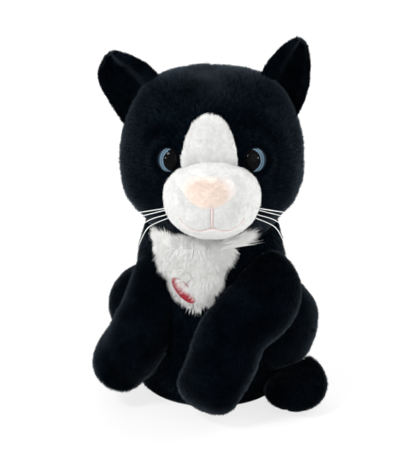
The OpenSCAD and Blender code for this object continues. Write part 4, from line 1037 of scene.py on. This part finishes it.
# Root, middle and tip of each whisker, as x and height above the head's middle
WHISKERS = [((29, -12), (42, -13), (53, -15)), ((30, -15), (42, -17), (53, -20)),
            ((29, -18), (42, -22), (52, -36)), ((28, -21), (40, -26), (46, -38))]
ROOT_SHARE = 0.93
for hand, name in ((1, "left_whiskers"), (-1, "right_whiskers")):
    paths = []
    for root, mid, tip in WHISKERS:
        x, z = root[0], HEAD_Z + root[1]
        y = -float(muzzle_front(np.array(x * ROOT_SHARE), np.array(z)))
        rows = [[hand * x * ROOT_SHARE, y + 1.0, z], [hand * x, y - 0.6, z],
                [hand * mid[0], y - 4, HEAD_Z + mid[1]], [hand * tip[0], y - 3, HEAD_Z + tip[1]]]
        paths.append(turned(np.array(rows, float)))
    piece(name + "_white", tube_mesh(name + "_white", paths, 0.36, sides=8, tip=0.45), "head", WHISKER,
          "whisker", [name])


def place(o, spot, way, inward):
    """Sets an object's origin on spot with its Z along way and its X towards inward."""
    z = unit(way)
    x = unit(inward - z * float(inward @ z))
    y = np.cross(z, x)
    m = Matrix.Identity(4)
    for k in range(3):
        m[k][0], m[k][1], m[k][2], m[k][3] = x[k], y[k], z[k], spot[k] * MM
    o.matrix_world = m


def dome(name, rows):
    """A round form through rows of radius and height."""
    a = angles(72)
    rings = [np.stack([r * np.cos(a), r * np.sin(a), h + 0 * a], 1) for r, h in rows[1:-1]]
    return ring_mesh(name, rings, [0, 0, rows[0][1]], [0, 0, rows[-1][1]])


EYE_DOME = 3.9
arc = np.linspace(0.02, math.pi / 2, 28)
eye_rows = [(0, EYE_DOME)] + [(EYE_R * math.sin(t), EYE_DOME * math.cos(t)) for t in arc]
eye_rows += [(7.3, -0.4), (0, -0.4)]
rim_rows = [(0, 0.4), (7.2, 0.4), (7.5, 0.8), (7.9, 0.9), (8.2, 0.6), (8.3, 0.1), (8.1, -0.4), (0, -0.4)]
for hand, name in ((1, "left_eye"), (-1, "right_eye")):
    spot, way = EYES[hand]
    spot, way = turned((spot + way * 0.5)[None])[0], turned(way[None])[0]
    inward = turned(np.array([[-hand, 0.0, 0.0]]))[0]
    for part, rows, finish in ((name + "_glass", eye_rows, EYE), (name + "_rim", rim_rows, EYE_RIM)):
        o = link(part, outward(dome(part, rows)), finish)
        place(o, spot, way, inward)
        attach(o, "head")
        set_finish(o, "eye")
        if part.endswith("_glass"):
            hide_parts(name)

# Inner and outer edge of each ear, as x and height above the head's middle
EARS = {
    "left_ear": ([[24, 40], [35, 62], [45, 74], [53, 79]], [[48, 14], [60, 40], [62.5, 59], [61, 73]]),
    "right_ear": ([[-24, 40], [-39, 60], [-53, 68], [-61, 70.5]],
                  [[-50, 12], [-65, 36], [-72.5, 52], [-70, 63]]),
}


def ear_form(inner_edge, outer_edge):
    """Rings from the head to the tip: hollow in front, round behind."""
    s = np.linspace(0, 1, 60)
    a, b = along(inner_edge, s), along(outer_edge, s)
    w = np.linspace(0, 1, 32)
    arch = np.sqrt(np.maximum(0, 4 * w * (1 - w)))
    hollow = 9.0 * rise(w, 0.2, 0.45) * (1 - rise(w, 0.75, 1.0)) - 2.0 * bell(w - 0.12, 0.12)
    tip = np.sqrt(1 - np.clip((s - 0.7) / 0.3, 0, 1) ** 2)
    rings = []
    for k in range(len(s)):
        flat = a[k] + (b[k] - a[k]) * w[:, None]
        deep = hollow * (1 - 0.45 * s[k]) + 1.6 * (1 - tip[k])
        front = np.stack([flat[:, 0], 1.0 + deep, HEAD_Z + flat[:, 1]], 1)
        behind = front + np.stack([0 * w, 7.0 * arch * (1 - 0.35 * s[k]) * tip[k] + 0.6, 0 * w], 1)
        rings.append(np.concatenate([front, behind[::-1]]))
    return off_head(np.array(rings), 0.3)


def ear_shown(p):
    """Whether a point of an ear is outside the head."""
    return distance(unturned(p), [0, 0, HEAD_Z]) > HEAD_R * 1.03


for k, (name, (inner_edge, outer_edge)) in enumerate(EARS.items()):
    rings = turned(ear_form(inner_edge, outer_edge))
    mesh = ring_mesh(name + "_plush", rings, rings[0].mean(0), rings[-1].mean(0))
    ear = piece(name + "_plush", mesh, "head", BLACK, "black_plush", [name])
    hand = 1 if name == "left_ear" else -1
    tipward = turned(np.array([[hand * 0.6, 0, 1.0]]))[0]
    pile(ear, name + "_pile", 15000, 2.2, 0.38, toward(tipward), BLACK_PILE, 141 + k, keep=ear_shown)


# Rigid pieces keep their CAD shapes and get worked materials

# Dark and pale colour, roughness, grain, metal and coat
RIGID = {
    "white_plastic": ((0.70, 0.70, 0.68), (0.80, 0.80, 0.78), 0.42),
    "grey_plastic": ((0.115, 0.118, 0.125), (0.16, 0.163, 0.17), 0.5),
    "black_plastic": ((0.011, 0.011, 0.012), (0.024, 0.024, 0.026), 0.45),
    "gear_plastic": ((0.74, 0.71, 0.60), (0.84, 0.81, 0.70), 0.36),
    "steel": ((0.52, 0.52, 0.53), (0.66, 0.66, 0.67), 0.3, 700.0, 1.0),
    "brass": ((0.62, 0.44, 0.17), (0.76, 0.56, 0.24), 0.32, 700.0, 1.0),
    "cell": ((0.05, 0.07, 0.055), (0.085, 0.11, 0.09), 0.28, 260.0, 0.0, 0.3),
    "board": ((0.010, 0.085, 0.035), (0.018, 0.125, 0.055), 0.4, 900.0),
    "cone": ((0.018, 0.017, 0.016), (0.04, 0.038, 0.036), 0.8, 1200.0),
    "wire": ((0.30, 0.016, 0.014), (0.42, 0.03, 0.026), 0.4),
}
FINISHES = {name: moulded(name, *row) for name, row in RIGID.items()}
FINISHES.update({
    "stuffing": plush("stuffing", (0.72, 0.72, 0.70), (0.84, 0.84, 0.82), 0.2, (1, 1, 1), 180.0),
    "eye": EYE_RIM, "badge": BADGE_RED, "black_plush": BLACK, "white_plush": WHITE, "thread": THREAD,
    "nose_pad": PEACH, "whisker": WHISKER,
})
slot_of = {row["node"]: row["material_slot"] for row in frame["record"].get("subparts", [])}
for name, o in frame["nodes"].items():
    finish = FINISHES[slot_of[name]]
    if o.data.materials:
        for k in range(len(o.data.materials)):
            o.data.materials[k] = finish
    else:
        o.data.materials.append(finish)


# Floor, light and camera

FLOOR_GLOW, SKY_LIGHT = 0.78, 0.52
LIT_HEIGHT = 0.12
VIEW_TURN, VIEW_UP, VIEW_AWAY, VIEW_HEIGHT = math.radians(22), math.radians(20), 2.0, 0.2925


def looked_at(nodes, links):
    """1 for rays from the camera, also by way of a reflection or through glass."""
    seen = nodes.new("ShaderNodeLightPath")
    first = operation(nodes, "MAXIMUM")
    links.new(seen.outputs["Is Camera Ray"], first.inputs[0])
    links.new(seen.outputs["Is Glossy Ray"], first.inputs[1])
    both = operation(nodes, "MAXIMUM")
    links.new(first.outputs["Value"], both.inputs[0])
    links.new(seen.outputs["Is Transmission Ray"], both.inputs[1])
    return both.outputs["Value"]


def floor():
    """A white floor with faint shadows that fades into the sky."""
    bpy.ops.mesh.primitive_circle_add(vertices=96, radius=3.0, fill_type="NGON", location=(0, 0, -0.0002))
    o = bpy.context.object
    o.name = "floor"
    m, nodes, links, shader = material("floor_white")
    setup(shader, {"Base Color": (0.86, 0.86, 0.86, 1), "Roughness": 0.9})
    glow = nodes.new("ShaderNodeEmission")
    direct = looked_at(nodes, links)
    share = operation(nodes, "MULTIPLY")
    share.inputs[1].default_value = FLOOR_GLOW
    links.new(direct, share.inputs[0])
    mix = nodes.new("ShaderNodeMixShader")
    links.new(share.outputs["Value"], mix.inputs["Fac"])
    links.new(shader.outputs["BSDF"], mix.inputs[1])
    links.new(glow.outputs["Emission"], mix.inputs[2])
    links.new(mix.outputs["Shader"], nodes["Material Output"].inputs["Surface"])
    o.data.materials.append(m)


def lamp(name, spot, size, power):
    """A round lamp that looks at the kitten's middle."""
    light = bpy.data.lights.new(name, "AREA")
    light.shape = "DISK"
    light.size = size
    light.energy = power
    o = in_scene(name, light)
    o.location = spot
    o.rotation_euler = (Vector((0, 0, LIT_HEIGHT)) - Vector(spot)).to_track_quat("-Z", "Y").to_euler()


def sky():
    """White where the camera sees it, and dimmer as a light."""
    world = bpy.context.scene.world or bpy.data.worlds.new("studio")
    bpy.context.scene.world = world
    world.use_nodes = True
    nodes, links = world.node_tree.nodes, world.node_tree.links
    back = nodes["Background"]
    setup(back, {"Color": (1, 1, 1, 1)})
    direct = looked_at(nodes, links)
    level = nodes.new("ShaderNodeMapRange")
    setup(level, {"To Min": SKY_LIGHT, "To Max": 1.0})
    links.new(direct, level.inputs["Value"])
    links.new(level.outputs["Result"], back.inputs["Strength"])


def camera():
    """The photo's view, from the left front and a little above."""
    a, e = VIEW_TURN, VIEW_UP
    back = Vector((math.sin(a) * math.cos(e), -math.cos(a) * math.cos(e), math.sin(e)))
    right = Vector((math.cos(a), math.sin(a), 0))
    up = back.cross(right)
    target = Vector((-1.4, -0.6, 110.2)) * MM
    cam = bpy.data.cameras.new("camera")
    cam.sensor_fit = "VERTICAL"
    cam.sensor_height = 24
    cam.lens = cam.sensor_height * VIEW_AWAY / VIEW_HEIGHT
    cam.clip_start = 0.01
    o = in_scene("camera", cam)
    turn = Matrix((right, up, back)).transposed().to_4x4()
    o.matrix_world = Matrix.Translation(target + back * VIEW_AWAY) @ turn
    bpy.context.scene.camera = o


floor()
sky()
lamp("key_light", (-0.6, -1.0, 1.2), 0.42, 16.5)
lamp("fill_light", (1.1, -0.8, 0.7), 1.3, 4.0)
lamp("back_light", (0.9, 0.9, 1.0), 1.1, 11.5)
lamp("rear_light", (-0.7, 1.3, 0.9), 1.3, 20)
lamp("left_spark", (-0.80, -1.15, 0.50), 0.16, 3.2)
lamp("right_spark", (1.37, -0.27, 0.50), 0.16, 2.8)
camera()
bpy.context.scene.view_settings.view_transform = "Standard"
